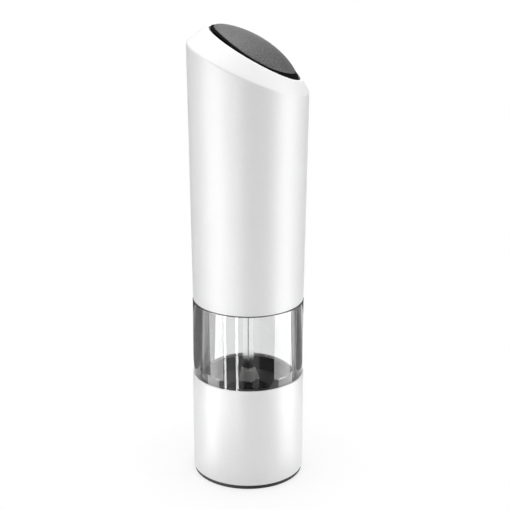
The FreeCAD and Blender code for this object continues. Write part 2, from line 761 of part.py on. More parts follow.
def make_grinder():
    """Hopper and burr tube, outer burr, bridge and their screws."""
    wall_bore = "spigot_radius - grinder_wall"
    flange_bottom = "spigot_end - hopper_flange"
    step = "hopper_rim - hopper_step_depth"
    web = "throat_top - hopper_flange"
    body = turned_body("grinder_body", [
        ("hopper_radius", "spigot_end"), ("hopper_radius", "hopper_rim"),
        ("hopper_radius - hopper_rim_land", "hopper_rim"), ("hopper_step_radius", step),
        ("hopper_step_radius", f"{step} - hopper_step"), ("throat_radius", "throat_top"),
        ("throat_radius", "burr_top"), ("burr_seat_radius", "burr_top"), ("burr_seat_radius", "burr_bottom"),
        ("burr_tube_radius", "burr_bottom"), ("burr_tube_radius", web),
        ("burr_tube_radius + hopper_flange", flange_bottom), (wall_bore, flange_bottom),
        (wall_bore, "plate_top"), ("spigot_radius", "plate_top"), ("spigot_radius", "spigot_end")])
    post = pad(body, circles_at(body, "post", "plate_top", ("base_screw_circle", "0", "post_radius")),
               f"{flange_bottom} - plate_top")
    doc.recompute()
    ring_of(body, [post], 3)
    hole = "screw_radius + screw_play"
    add_holes(body, "plate_top", "base_screw_circle", "0", hole, "screw_length", 3)
    add_holes(body, "burr_bottom", "bridge_screw_circle * cos(60)", "bridge_screw_circle * sin(60)", hole,
              "screw_length - bridge_height + screw_head", 3)
    keep(body)

    outer = turned_body("outer_burr", [
        ("burr_exit_radius", "burr_bottom"), ("burr_radius", "burr_bottom"), ("burr_radius", "burr_top"),
        ("burr_mouth_radius", "burr_top"), ("burr_waist_radius", "burr_bottom + burr_waist_height")])
    sketch = sketch_on(outer, "notch", "XY_Plane", z="burr_bottom")
    inside = "burr_waist_radius - burr_notch_depth"
    add_polygon(sketch, [(inside, "-burr_notch_width / 2"), ("burr_exit_radius + burr_notch_depth", "0"),
                         (inside, "burr_notch_width / 2")])
    notch = cut_up(outer, sketch, "burr_height")
    doc.recompute()
    ring_of(outer, [notch], BURR_NOTCHES)
    keep(outer)

    bridge = new_body("burr_bridge")
    pad(bridge, circles_at(bridge, "ring", "bridge_bottom", ("0", "0", "burr_tube_radius"),
                           ("0", "0", "bridge_ring_radius")), "bridge_height")
    spoke_sketch = sketch_on(bridge, "spoke", "XY_Plane", z="bridge_bottom")
    spoke_from = "boss_radius / 2"
    spoke_to = "(bridge_ring_radius + burr_tube_radius) / 2"
    half = "bridge_spoke / 2"
    add_polygon(spoke_sketch, [(spoke_from, f"-{half}"), (spoke_to, f"-{half}"), (spoke_to, half),
                               (spoke_from, half)])
    spoke = pad(bridge, spoke_sketch, "bridge_hub_top - bridge_bottom")
    doc.recompute()
    ring_of(bridge, [spoke], 3)
    boss_level = "bridge_hub_top - boss_length"
    pad(bridge, circles_at(bridge, "boss", boss_level, ("0", "0", "boss_radius")), "boss_length")
    bore = circles_at(bridge, "bore", boss_level, ("0", "0", "stem_radius + running_fit"))
    cut_up(bridge, bore, "boss_length")
    doc.recompute()
    add_holes(bridge, "bridge_bottom", "bridge_screw_circle * cos(60)", "bridge_screw_circle * sin(60)", hole,
              "bridge_height", 3)
    keep(bridge)
    screw_ring("bridge_screws", "bridge_screw_circle * cos(60)", "bridge_screw_circle * sin(60)",
               "bridge_bottom", "screw_length", 3)


def make_adjuster():
    """Adjusting knob with its stem, thrust washer and thrust bush."""
    knob = turned_body("adjust_knob", [
        ("0", "knob_lift"), ("knob_radius", "knob_lift"), ("knob_radius", "knob_top - knob_grip_radius"),
        ("knob_radius - knob_grip_radius", "knob_top"), ("stem_radius", "knob_top"),
        ("stem_radius", "stem_top"), ("0", "stem_top")])
    add_holes(knob, "knob_lift", "knob_radius + knob_grip_radius / 2", "0", "knob_grip_radius", "knob_height",
              KNOB_GRIPS)
    keep(knob)
    keep(turned_body("thrust_washer", [("0", "stem_top"), ("washer_radius", "stem_top"),
                                       ("washer_radius", "washer_top"), ("0", "washer_top")]))
    keep(turned_body("thrust_bush", [
        ("bush_radius - bush_wall", "washer_top"), ("bush_radius", "washer_top"),
        ("bush_radius", "cone_recess_top"), ("bush_radius - bush_wall", "cone_recess_top")]))


def make_rotor():
    """Inner burr, feed hub and square shaft, which turn together."""
    bore = "shaft_side + 2 * hub_bore_play"
    cone = turned_body("inner_burr", [
        ("cone_recess_radius", "cone_bottom"), ("cone_radius", "cone_bottom"),
        ("cone_shoulder_radius", "cone_bottom + cone_shoulder_height"), ("cone_top_radius", "cone_top"),
        ("0", "cone_top"), ("0", "cone_recess_top"), ("cone_recess_radius", "cone_recess_top")])
    flute = []
    ends = (("cone_bottom - flute_depth", "cone_radius", "0"),
            ("cone_top + flute_depth", "cone_top_radius", "flute_twist"))
    for level, radius, twist in ends:
        sketch = sketch_on(cone, "flute_end", "XY_Plane", twist, z=level)
        outside = f"{radius} + flute_depth"
        add_polygon(sketch, [(outside, "-flute_width / 2"), (outside, "flute_width / 2"),
                             (f"{radius} - flute_depth", "0")])
        flute.append(sketch)
    doc.recompute()
    cut = add_feature(cone, "SubtractiveLoft", "flute", flute[0], Sections=[flute[1]], Ruled=True)
    doc.recompute()
    ring_of(cone, [cut], BURR_FLUTES)
    cut_up(cone, square_at(cone, "bore", "cone_recess_top", bore), "cone_height")
    keep(cone)

    hub_top = "hub_bottom + hub_height"
    hub = turned_body("feed_hub", [("0", "hub_bottom"), ("hub_radius", "hub_bottom"),
                                   ("hub_top_radius", hub_top), ("0", hub_top)])
    fin_sketch = sketch_on(hub, "fin", "XZ_Plane")
    add_polygon(fin_sketch, [("hub_top_radius / 2", "hub_bottom"), ("fin_radius", "hub_bottom"),
                             ("fin_radius", "hub_bottom + fin_width"), ("hub_top_radius", hub_top),
                             ("hub_top_radius / 2", hub_top)])
    fin = pad(hub, fin_sketch, "fin_width", SideType="Symmetric")
    doc.recompute()
    ring_of(hub, [fin], HUB_FINS)
    cut_up(hub, square_at(hub, "bore", "hub_bottom", bore), "hub_height")
    keep(hub)

    shaft = new_body("drive_shaft")
    pad(shaft, square_at(shaft, "section", "shaft_bottom", "shaft_side"), "shaft_top - shaft_bottom")
    keep(shaft)


def make_frame():
    """Drive frame: skirt round the tank's neck, deck that carries the gear case, legs up to the cage."""
    deck_hole = "case_radius + slip_fit"
    frame = turned_body("drive_frame", [
        ("skirt_bore", "window_top + skirt_lift"), ("frame_radius", "window_top + skirt_lift"),
        ("frame_radius", "deck_top"), (deck_hole, "deck_top"), (deck_hole, "deck_bottom"),
        ("skirt_bore", "deck_bottom")])
    sketch = sketch_on(frame, "leg", "XY_Plane", "30", z="deck_top")
    half = "leg_width / 2"
    leg_to = "sqrt(frame_radius ^ 2 - (leg_width / 2) ^ 2)"
    leg_from = "frame_radius - leg_depth"
    add_polygon(sketch, [(leg_from, f"-{half}"), (leg_to, f"-{half}"), (leg_to, half), (leg_from, half)])
    leg = pad(frame, sketch, "cage_bottom - deck_top")
    doc.recompute()
    ring_of(frame, [leg], 3)
    hole = "screw_radius + screw_play"
    add_holes(frame, "cage_bottom - screw_length", "cage_screw_circle * cos(30)", "cage_screw_circle * sin(30)",
              hole, "screw_length", 3)
    add_holes(frame, "deck_bottom", "case_screw_circle * cos(60)", "case_screw_circle * sin(60)", hole,
              "deck_thickness", 3)
    keep(frame)


def make_gearbox():
    """Gear case with its toothed ring, cover, carriers, planets and motor plate."""
    hole = "screw_radius + screw_play"
    blank = turned_body("case_blank", [
        ("0", "gear_floor"), ("case_radius", "gear_floor"), ("case_radius", "deck_top"),
        ("case_flange_radius", "deck_top"), ("case_flange_radius", "deck_top + case_flange"),
        ("case_radius", "deck_top + case_flange"), ("case_radius", "lid_bottom"), ("0", "lid_bottom")])
    add_holes(blank, "deck_top", "case_screw_circle * cos(60)", "case_screw_circle * sin(60)", hole,
              "case_flange", 3)
    thinning = value("tooth_thinning")
    ring_cutter = gear_blank("ring_teeth", RING_TEETH, value("pitch_ring + gear_dedendum"),
                             value("pitch_ring - gear_addendum"), -thinning,
                             value("gear_floor - gear_play"),
                             value("lid_bottom - gear_floor + 2 * gear_play"))
    keep(join("Cut", "gear_case", blank, ring_cutter))
    keep(turned_body("case_cover", [
        ("output_hub_radius + running_fit", "case_bottom"), ("case_radius", "case_bottom"),
        ("case_radius", "gear_floor"), ("output_hub_radius + running_fit", "gear_floor")]))
    screw_ring("case_screws", "case_screw_circle * cos(60)", "case_screw_circle * sin(60)",
               "deck_top + case_flange", "case_flange + deck_thickness", 3, upwards=False)

    output = turned_body("output_carrier", [
        ("0", "case_bottom - output_hub_reach"), ("output_hub_radius", "case_bottom - output_hub_reach"),
        ("output_hub_radius", "carrier_two"), ("carrier_radius", "carrier_two"),
        ("carrier_radius", "carrier_two + carrier_thickness"), ("0", "carrier_two + carrier_thickness")])
    add_pins(output, "carrier_two + carrier_thickness")
    socket = square_at(output, "socket", "case_bottom - output_hub_reach", "shaft_side + 2 * socket_play")
    cut_up(output, socket, "output_hub_reach + cover_thickness + gear_play + carrier_thickness")
    keep(output)

    disc = turned_body("stage_disc", [
        ("0", "carrier_one"), ("carrier_radius", "carrier_one"),
        ("carrier_radius", "carrier_one + carrier_thickness"), ("0", "carrier_one + carrier_thickness")])
    add_pins(disc, "carrier_one + carrier_thickness")
    second_sun = sun_gear("second_sun", "planets_two", "planet_width + gear_play")
    keep(join("Fuse", "stage_carrier", disc, second_sun))

    for stage, level in (("first", "planets_one"), ("second", "planets_two")):
        for number in range(PLANETS):
            keep(planet_gear(f"{stage}_planet_{number + 1}", level, 360 * number / PLANETS))

    plate = turned_body("motor_plate", [
        ("motor_boss_radius + slip_fit", "lid_bottom"), ("case_radius", "lid_bottom"),
        ("case_radius", "motor_bottom"), ("motor_boss_radius + slip_fit", "motor_bottom")])
    add_holes(plate, "lid_bottom", "motor_screw_spread", "0", hole, "lid_thickness", 2)
    add_holes(plate, "lid_bottom", "motor_screw_spread", "0", "screw_head_radius + slip_fit",
              "lid_thickness / 2", 2)
    keep(plate)


def add_pins(body, level):
    """Planet pins on a carrier disc."""
    sketch = circles_at(body, "pin", level, ("planet_circle", "0", "pin_radius"))
    pin = pad(body, sketch, "gear_play + planet_width")
    doc.recompute()
    ring_of(body, [pin], PLANETS)


def sun_gear(label, level, height):
    pitch = value("gear_module") * SUN_TEETH / 2
    return gear_blank(label, SUN_TEETH, pitch + value("gear_addendum"), pitch - value("gear_dedendum"),
                      value("tooth_thinning"), value(level), value(height))


def planet_gear(label, level, angle):
    """A planet on its pin, with a tooth pointing away from the mill's axis."""
    pitch = value("gear_module") * PLANET_TEETH / 2
    gear = gear_blank(f"{label}_teeth", PLANET_TEETH, pitch + value("gear_addendum"),
                      pitch - value("gear_dedendum"), value("tooth_thinning"), 0, value("planet_width"))
    bore = doc.addObject("Part::Cylinder", f"{label}_bore")
    bore.setExpression("Radius", expand("pin_radius + running_fit"))
    bore.setExpression("Height", expand("planet_width"))
    planet = join("Cut", label, gear, bore)
    turned = FreeCAD.Rotation(V(0, 0, 1), angle)
    centre = turned.multVec(V(value("planet_circle"), 0, value(level)))
    planet.Placement = FreeCAD.Placement(centre, turned)
    return planet


def motor_section(body, level, inset):
    """Round motor outline at a height."""
    return circles_at(body, "round", level, ("0", "0", f"motor_radius - ({inset})"))


def cut_flats(body, level, inset, height):
    """Cuts the two flat sides of the motor."""
    sketch = sketch_on(body, "flats", "XY_Plane", z=level)
    flat = f"motor_flat / 2 - ({inset})"
    for side in ("", "-"):
        near = f"{side}({flat})"
        far = f"{side}motor_flat"
        add_polygon(sketch, [("-motor_flat", near), ("motor_flat", near), ("motor_flat", far),
                             ("-motor_flat", far)])
    cut_up(body, sketch, height)
    doc.recompute()


def make_motor():
    """Motor can, end cap, terminals, screws, and the shaft with the pinion of the first stage."""
    can = new_body("motor_can")
    pad(can, motor_section(can, "motor_bottom", "0"), "motor_length")
    doc.recompute()
    cut_flats(can, "motor_bottom", "0", "motor_length")
    pad(can, circles_at(can, "boss", "lid_bottom", ("0", "0", "motor_boss_radius")), "lid_thickness")
    cut_up(can, circles_at(can, "bore", "lid_bottom", ("0", "0", "motor_shaft_radius + running_fit")),
           "lid_thickness + motor_shaft_depth")
    doc.recompute()
    add_holes(can, "motor_bottom", "motor_screw_spread", "0", "screw_radius + screw_play", "short_screw", 2)
    keep(can)

    cap = new_body("motor_cap")
    pad(cap, motor_section(cap, "motor_top", "motor_cap_inset"), "motor_cap_height")
    doc.recompute()
    cut_flats(cap, "motor_top", "motor_cap_inset", "motor_cap_height")
    keep(cap)

    tabs = new_body("motor_terminals")
    sketch = sketch_on(tabs, "tab", "XY_Plane", z="cap_top")
    near = "terminal_spread - terminal_thickness / 2"
    far = "terminal_spread + terminal_thickness / 2"
    half = "terminal_width / 2"
    add_polygon(sketch, [(near, f"-{half}"), (far, f"-{half}"), (far, half), (near, half)])
    tab = pad(tabs, sketch, "terminal_height")
    doc.recompute()
    ring_of(tabs, [tab], 2)
    keep(tabs)

    screws = new_body("motor_screws")
    head_sketch = circles_at(screws, "head", "lid_bottom", ("motor_screw_spread", "0", "screw_head_radius"))
    head = pad(screws, head_sketch, "lid_thickness / 2 - screw_play")
    shank_sketch = circles_at(screws, "shank", "lid_bottom", ("motor_screw_spread", "0", "screw_radius"))
    shank = pad(screws, shank_sketch, "lid_thickness + short_screw - screw_play")
    doc.recompute()
    ring_of(screws, [head, shank], 2)
    keep(screws)

    first_sun = sun_gear("first_sun", "planets_one", "planet_width + gear_play")
    shaft = doc.addObject("Part::Cylinder", "motor_shaft")
    shaft.setExpression("Radius", expand("motor_shaft_radius"))
    shaft_length = "planet_width + 2 * gear_play + lid_thickness + motor_shaft_depth - seat_play"
    shaft.setExpression("Height", expand(shaft_length))
    shaft.setExpression("Placement.Base.z", expand("planets_one"))
    keep(join("Fuse", "motor_pinion", first_sun, shaft))


def make_batteries():
    """Battery cage, cells, contact plates and the board that closes the cage."""
    cage = new_body("battery_cage")
    pad(cage, circles_at(cage, "floor", "cage_bottom", ("0", "0", "cage_radius")), "cage_plate")
    core_height = "board_bottom - cage_floor"
    pad(cage, circles_at(cage, "core", "cage_floor", ("0", "0", "cage_core_radius")), core_height)
    doc.recompute()
    add_holes(cage, "cage_floor", "cell_circle", "0", "cell_radius + cell_play", core_height, CELLS)
    cut_up(cage, circles_at(cage, "bore", "cage_bottom", ("0", "0", "cage_bore")),
           "board_bottom - cage_bottom")
    for level in ("cage_floor", "cell_top"):
        contact_room = circles_at(cage, "contact_room", level, ("0", "0", "cage_core_radius + slip_fit"),
                                  ("0", "0", "contact_inside - slip_fit"))
        cut_up(cage, contact_room, "contact_thickness")
    doc.recompute()
    hole = "screw_radius + screw_play"
    add_holes(cage, "cage_bottom", "cage_screw_circle * cos(30)", "cage_screw_circle * sin(30)", hole,
              "cage_plate", 3)
    add_holes(cage, "board_bottom - screw_length", "board_screw_circle * cos(30)",
              "board_screw_circle * sin(30)", hole, "screw_length", 3)
    keep(cage)
    screw_ring("cage_screws", "cage_screw_circle * cos(30)", "cage_screw_circle * sin(30)", "cage_floor",
               "screw_length", 3, upwards=False)

    for number in range(CELLS):
        cell = turned_body(f"battery_{number + 1}", [
            ("0", "0"), ("cell_radius", "0"), ("cell_radius", "cell_length - cell_nub_height"),
            ("cell_nub_radius", "cell_length - cell_nub_height"), ("cell_nub_radius", "cell_length"),
            ("0", "cell_length")])
        upright = number % 2 == 0
        angle = 360 / CELLS * number
        cell.setExpression("Placement.Base.x", expand(f"cell_circle * cos({angle})"))
        cell.setExpression("Placement.Base.y", expand(f"cell_circle * sin({angle})"))
        cell.setExpression("Placement.Base.z", expand("cell_bottom" if upright else "cell_top"))
        cell.Placement.Rotation = FreeCAD.Rotation(V(1, 0, 0), 0 if upright else 180)
        keep(cell)

    make_contacts("lower_contacts", "cage_floor", "30")
    make_contacts("upper_contacts", "cell_top", "90")
    board = new_body("contact_board")
    pad(board, circles_at(board, "board", "board_bottom", ("0", "0", "cage_radius - board_inset")),
        "board_thickness")
    doc.recompute()
    add_holes(board, "board_bottom", "board_screw_circle * cos(30)", "board_screw_circle * sin(30)", hole,
              "board_thickness", 3)
    keep(board)
    screw_ring("board_screws", "board_screw_circle * cos(30)", "board_screw_circle * sin(30)", "board_top",
               "screw_length", 3, upwards=False)


def make_contacts(label, level, angle):
    """Three plates, each of which bridges two neighbouring cells."""
    contacts = new_body(label)
    sketch = sketch_on(contacts, "plate", "XY_Plane", angle, z=level)
    reach = "cell_circle / 2 + cell_nub_radius"
    far = "contact_inside + contact_width"
    add_polygon(sketch, [("contact_inside", f"-({reach})"), (far, f"-({reach})"), (far, reach),
                         ("contact_inside", reach)])
    plate = pad(contacts, sketch, "contact_thickness")
    doc.recompute()
    ring_of(contacts, [plate], CELLS // 2)
    keep(contacts)


def make_switch():
    """Switch body on the board and the plunger that the button's post presses."""
    switch = new_body("switch_body")
    sketch = sketch_on(switch, "outline", "XY_Plane", z="board_top")
    left = "opening_offset - switch_length / 2"
    right = "opening_offset + switch_length / 2"
    half = "switch_width / 2"
    add_polygon(sketch, [(left, f"-{half}"), (right, f"-{half}"), (right, half), (left, half)])
    pad(switch, sketch, "switch_height")
    bore_level = "switch_top - button_travel - plunger_depth - seat_play"
    cut_up(switch, circles_at(switch, "bore", bore_level, ("opening_offset", "0", "plunger_radius + slip_fit")),
           "button_travel + plunger_depth + seat_play")
    keep(switch)
    plunger = new_body("switch_plunger")
    foot = "switch_top - plunger_depth"
    pad(plunger, circles_at(plunger, "round", foot, ("opening_offset", "0", "plunger_radius")),
        "plunger_rise + plunger_depth")
    keep(plunger)


def make_housing():
    """Upper housing: flared sleeve, slanted crease, bevelled band and flat rim round the opening."""
    tall = "crease_level + trim_drop"
    tall_radius = f"housing_foot_radius + tan(housing_flare) * ({tall} - housing_foot)"
    housing = turned_body("housing_blank", [
        ("0", "housing_foot"), ("housing_foot_radius", "housing_foot"), (tall_radius, tall), ("0", tall)])
    trim_above(housing, "crease_level", "crease_tilt")
    crease_middle = "crease_level - tan(crease_tilt) * crease_centre"
    crease = slanted_sketch(housing, "crease", "crease_centre", crease_middle, "crease_tilt")
    add_ellipse(crease, "crease_radius / (1 - crease_bend ^ 2) / cos(crease_tilt)",
                "crease_radius / sqrt(1 - crease_bend ^ 2)")
    rim = slanted_sketch(housing, "rim", "opening_offset", "rim_level", "rim_tilt")
    add_ellipse(rim, "rim_radius / cos(rim_tilt)", "rim_radius")
    doc.recompute()
    add_feature(housing, "AdditiveLoft", "bevel", crease, Sections=[rim], Ruled=True)
    doc.recompute()
    crease_low = value("crease_level - tan(crease_tilt) * crease_radius")
    crease_high = value("crease_level + tan(crease_tilt) * crease_radius")
    rim_high = value("rim_level + tan(rim_tilt) * rim_radius")

    def spans(edge, low, high):
        box = edge.BoundBox
        return abs(box.ZMin - low) < 0.5 and abs(box.ZMax - high) < 0.5

    round_edges(housing, "crease_edge", lambda edge: spans(edge, crease_low, crease_high))
    rim_low = value("rim_level - tan(rim_tilt) * rim_radius")
    round_edges(housing, "rim_edge", lambda edge: spans(edge, rim_low, rim_high))
    round_edges(housing, "housing_edge", on_circle("housing_foot", "housing_foot_radius"))

    cut_up(housing, circles_at(housing, "opening", "well_bottom", ("opening_offset", "0", "opening_radius")),
           "2 * trim_reach")
    doc.recompute()
    room = new_body("housing_room")
    pad(room, circles_at(room, "bore", "housing_foot - housing_wall", ("0", "0", "housing_bore")),
        f"{tall} - housing_foot + housing_wall")
    doc.recompute()
    trim_above(room, "crease_level + roof_rise", "crease_tilt")
    keep(join("Cut", "upper_housing", housing, room))


def make_well():
    """Black well that guides the button under the opening, with a floor for the post and its spring."""
    well = new_body("button_well")
    collar_bottom = "well_bottom - well_collar"
    well_radius = "housing_bore - well_play"
    pad(well, circles_at(well, "collar", collar_bottom, ("0", "0", well_radius)),
        f"crease_level + trim_drop - ({collar_bottom})")
    doc.recompute()
    trim_above(well, "crease_level + roof_rise - well_play", "crease_tilt")
    cut_up(well, circles_at(well, "well", "well_top", ("opening_offset", "0", "opening_radius + well_setback")),
           "2 * trim_reach")
    cut_up(well, circles_at(well, "underside", collar_bottom, ("0", "0", f"{well_radius} - well_wall")),
           "well_collar")
    cut_up(well, circles_at(well, "post_hole", "well_bottom",
                            ("opening_offset", "0", "button_post_radius + slip_fit")), "well_floor")
    keep(well)


def make_button():
    """Black button core with its post, grey pad on the dome, spring and retaining clip."""
    blank = domed_plug("core_blank", "button_radius", "button_bottom", "pad_thickness")
    pad(blank, circles_at(blank, "post", "post_bottom", ("opening_offset", "0", "button_post_radius")),
        "button_bottom - post_bottom + seat_play")
    groove_sketch = circles_at(blank, "clip_groove", "clip_level - slip_fit",
                               ("opening_offset", "0", "button_post_radius + slip_fit"),
                               ("opening_offset", "0", "button_post_radius - clip_groove"))
    cut_up(blank, groove_sketch, "clip_thickness + 2 * slip_fit")
    room = domed_plug("core_room", "button_radius - button_wall", "button_bottom - seat_play",
                      "pad_thickness + button_crown", "spring_seat_radius")
    pad(room, circles_at(room, "spring_room", "button_bottom - seat_play",
                         ("opening_offset", "0", "spring_seat_radius + seat_play"),
                         ("opening_offset", "0", "button_post_radius")),
        "spring_seat - button_bottom + seat_play")
    doc.recompute()
    keep(join("Cut", "button_core", blank, room))

    skin = domed_plug("pad_blank", "button_radius", "button_bottom", "0")
    top = value("button_bottom") + value("pad_thickness")
    long = 2 * value("button_radius")
    round_edges(skin, "pad_edge", lambda edge: edge.BoundBox.ZMin > top and edge.Length > long)
    under = domed_plug("pad_room", "button_radius + button_gap", "button_bottom - seat_play", "pad_thickness")
    keep(join("Cut", "button_pad", skin, under))

    spring_body("button_spring", "opening_offset", "well_top", "spring_seat_height", "button_spring_radius",
                "button_spring_wire", SPRING_TURNS)

    clip = new_body("button_clip")
    pad(clip, circles_at(clip, "ring", "clip_level", ("opening_offset", "0", "clip_radius"),
                         ("opening_offset", "0", "button_post_radius - clip_groove + slip_fit")),
        "clip_thickness")
    doc.recompute()
    mouth = sketch_on(clip, "mouth", "XY_Plane", z="clip_level")
    half = "clip_mouth / 2"
    add_polygon(mouth, [("opening_offset", f"-{half}"), ("opening_offset + 2 * clip_radius", f"-{half}"),
                        ("opening_offset + 2 * clip_radius", half), ("opening_offset", half)])
    cut_up(clip, mouth, "clip_thickness")
    keep(clip)


def check_and_write():
    """Stops at a failed object, then writes each sub-part."""
    doc.recompute()
    failed = [item.Label for item in doc.Objects if {"Invalid", "Error"} & set(item.State)]
    for node in nodes:
        shape = node.Shape
        if shape.isNull() or not shape.isValid() or not shape.Solids:
            failed.append(node.Label)
    if failed:
        raise RuntimeError(f"these objects failed: {failed}")
    os.makedirs("parts", exist_ok=True)
    for node in nodes:
        node.Shape.exportStep(f"parts/{node.Label}.step")
        print(f"{node.Label}: {len(node.Shape.Solids)} solid(s), {node.Shape.Volume:.1f} mm3")


make_base()
make_tank()
make_grinder()
make_adjuster()
make_rotor()
make_frame()
make_gearbox()
make_motor()
make_batteries()
make_switch()
make_housing()
make_well()
make_button()
check_and_write()
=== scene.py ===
# %% [markdown]
# # A battery pepper mill with a slanted push-button top
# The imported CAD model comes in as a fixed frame. Its inner pieces keep their CAD meshes and get real
# finishes. The pieces that meet the eye are drawn again as finely divided surfaces, at the same sizes,
# so that long highlights run over them without facets.

# %% Load the frame
import json
import math

import bpy
import numpy as np
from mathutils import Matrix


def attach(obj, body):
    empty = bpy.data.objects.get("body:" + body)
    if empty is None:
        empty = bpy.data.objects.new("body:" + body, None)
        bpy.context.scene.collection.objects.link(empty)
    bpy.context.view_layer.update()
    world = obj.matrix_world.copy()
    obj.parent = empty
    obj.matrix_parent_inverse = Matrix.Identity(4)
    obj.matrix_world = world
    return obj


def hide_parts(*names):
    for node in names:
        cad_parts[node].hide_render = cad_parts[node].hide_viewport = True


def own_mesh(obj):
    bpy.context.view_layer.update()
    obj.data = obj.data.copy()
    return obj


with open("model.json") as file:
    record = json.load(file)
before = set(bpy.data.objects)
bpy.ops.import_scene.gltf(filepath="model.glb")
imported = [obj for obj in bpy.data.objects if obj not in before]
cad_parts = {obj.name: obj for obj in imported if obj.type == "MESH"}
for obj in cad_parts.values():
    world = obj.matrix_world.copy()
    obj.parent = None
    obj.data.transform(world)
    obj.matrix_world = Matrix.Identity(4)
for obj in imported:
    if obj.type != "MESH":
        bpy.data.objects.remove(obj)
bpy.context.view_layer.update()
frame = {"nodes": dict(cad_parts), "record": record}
print("CAD nodes:", len(frame["nodes"]))

# %% [markdown]
# ## Camera
# The view was found by fitting the outlines of the base, the window and the slanted top. The lens is long,
# and the camera looks down on the mill by about nineteen degrees, so the rims show as thin ellipses. A
# shorter lens from nearer by would show the rims at the foot much rounder than those at the top.

# %% Camera
LENS_MM, SENSOR_MM = 104.91, 36.0
CAMERA_PLACE = (0.0027, -0.65657, 0.33996)
CAMERA_TILT, CAMERA_ROLL = math.radians(70.63), math.radians(-0.11)

scene = bpy.context.scene
camera_data = bpy.data.cameras.new("camera")
camera_data.sensor_width = SENSOR_MM
camera_data.lens = LENS_MM
camera = bpy.data.objects.new("camera", camera_data)
camera.location = CAMERA_PLACE
camera.rotation_euler = (CAMERA_TILT, CAMERA_ROLL, 0.0)
scene.collection.objects.link(camera)
scene.camera = camera
print("lens:", LENS_MM, "mm")

# %% [markdown]
# ## Colours
# A designer names a colour by its sRGB hex value, while a shader works in linear light. One function turns
# the one into the other, so that every colour below can be written as it should look.

# %% Colour helper


def linear(hex_colour):
    """Linear RGBA of an sRGB hex colour: the sRGB curve undone for each channel."""
    srgb = np.array([int(hex_colour[i:i + 2], 16) for i in (1, 3, 5)]) / 255.0
    rgb = np.where(srgb <= 0.04045, srgb / 12.92, ((srgb + 0.055) / 1.055) ** 2.4)
    return (*rgb.tolist(), 1.0)


print("middle grey in linear light:", round(linear("#808080")[0], 3))

# %% [markdown]
# ## Nodes
# A finish is a small tree of nodes. It could be clicked together by hand, but a script repeats it exactly.
# One function adds a node with its settings and links, which keeps each tree to a few readable lines.

# %% Node helpers


def empty_tree(block):
    """The cleared node tree of a material or a world."""
    block.use_nodes = True
    block.node_tree.nodes.clear()
    return block.node_tree


def add(tree, kind, inputs=None, **settings):
    """Adds a node. An input, named or numbered, is a value to set or an output socket to link."""
    node = tree.nodes.new(kind)
    for name, setting in settings.items():
        setattr(node, name, setting)
    for socket, source in (inputs or {}).items():
        if isinstance(source, bpy.types.NodeSocket):
            tree.links.new(source, node.inputs[socket])
        else:
            node.inputs[socket].default_value = source
    return node.outputs


print("node helpers are ready")

# %% [markdown]
# ## A moulded, turned or drawn surface
# Nearly every finish here is one base material with a small unevenness that its making leaves: moulding
# grain, drawing streaks or dust. One noise pattern moves the colour, the roughness and the height together,
# because on a real surface they share one cause. Its size is given in millimetres. Real grain is often too
# fine for a picture, so grains, speckles and drawing lines are drawn coarser, a quarter of a millimetre or more.

# %% Surface finish helper
MM = 0.001
GRAIN_LOW, GRAIN_HIGH = 0.3, 0.7


def surface(name, colours, rough, grain_mm, depth_mm, stretch=1.0, detail=3.0, **shader):
    """A finish whose colour, roughness and height follow one noise.

    The noise has a grain of grain_mm, is stretched along Z, and its values from GRAIN_LOW to GRAIN_HIGH
    are spread over 0 to 1. What is the same all over goes straight to the shader's own sockets."""
    material = bpy.data.materials.new(name)
    tree = empty_tree(material)
    place = add(tree, "ShaderNodeTexCoord")["Object"]
    grid = add(tree, "ShaderNodeMapping", {"Vector": place, "Scale": (1.0, 1.0, 1.0 / stretch)})["Vector"]
    cells = {"Vector": grid, "Scale": 1.0 / (grain_mm * MM), "Detail": detail}
    grain = add(tree, "ShaderNodeTexNoise", cells)["Fac"]
    spread = {"Value": grain, "From Min": GRAIN_LOW, "From Max": GRAIN_HIGH}
    even = add(tree, "ShaderNodeMapRange", spread)["Result"]
    shades = {0: even, 6: linear(colours[0]), 7: linear(colours[1])}
    colour = add(tree, "ShaderNodeMix", shades, data_type="RGBA")[2]
    gloss = add(tree, "ShaderNodeMapRange", {"Value": even, "To Min": rough[0], "To Max": rough[1]})["Result"]
    height = {"Height": even, "Distance": depth_mm * MM, "Strength": 1.0}
    relief = add(tree, "ShaderNodeBump", height)["Normal"]
    sockets = {key.replace("_", " "): setting for key, setting in shader.items()}
    sockets.update({"Base Color": colour, "Roughness": gloss, "Normal": relief})
    shade = add(tree, "ShaderNodeBsdfPrincipled", sockets)["BSDF"]
    add(tree, "ShaderNodeOutputMaterial", {"Surface": shade})
    return material


print("grain spread from", GRAIN_LOW, "to", GRAIN_HIGH)

# %% [markdown]
# ## Finishes on the outside
# The white shell is moulded ABS with a satin lacquer: even, with soft broad highlights. The button pad has
# a matt soft-touch coat with a speckle. The clear tank is polished SAN, whose thick wall bends the dark
# surroundings into bands at its sides.

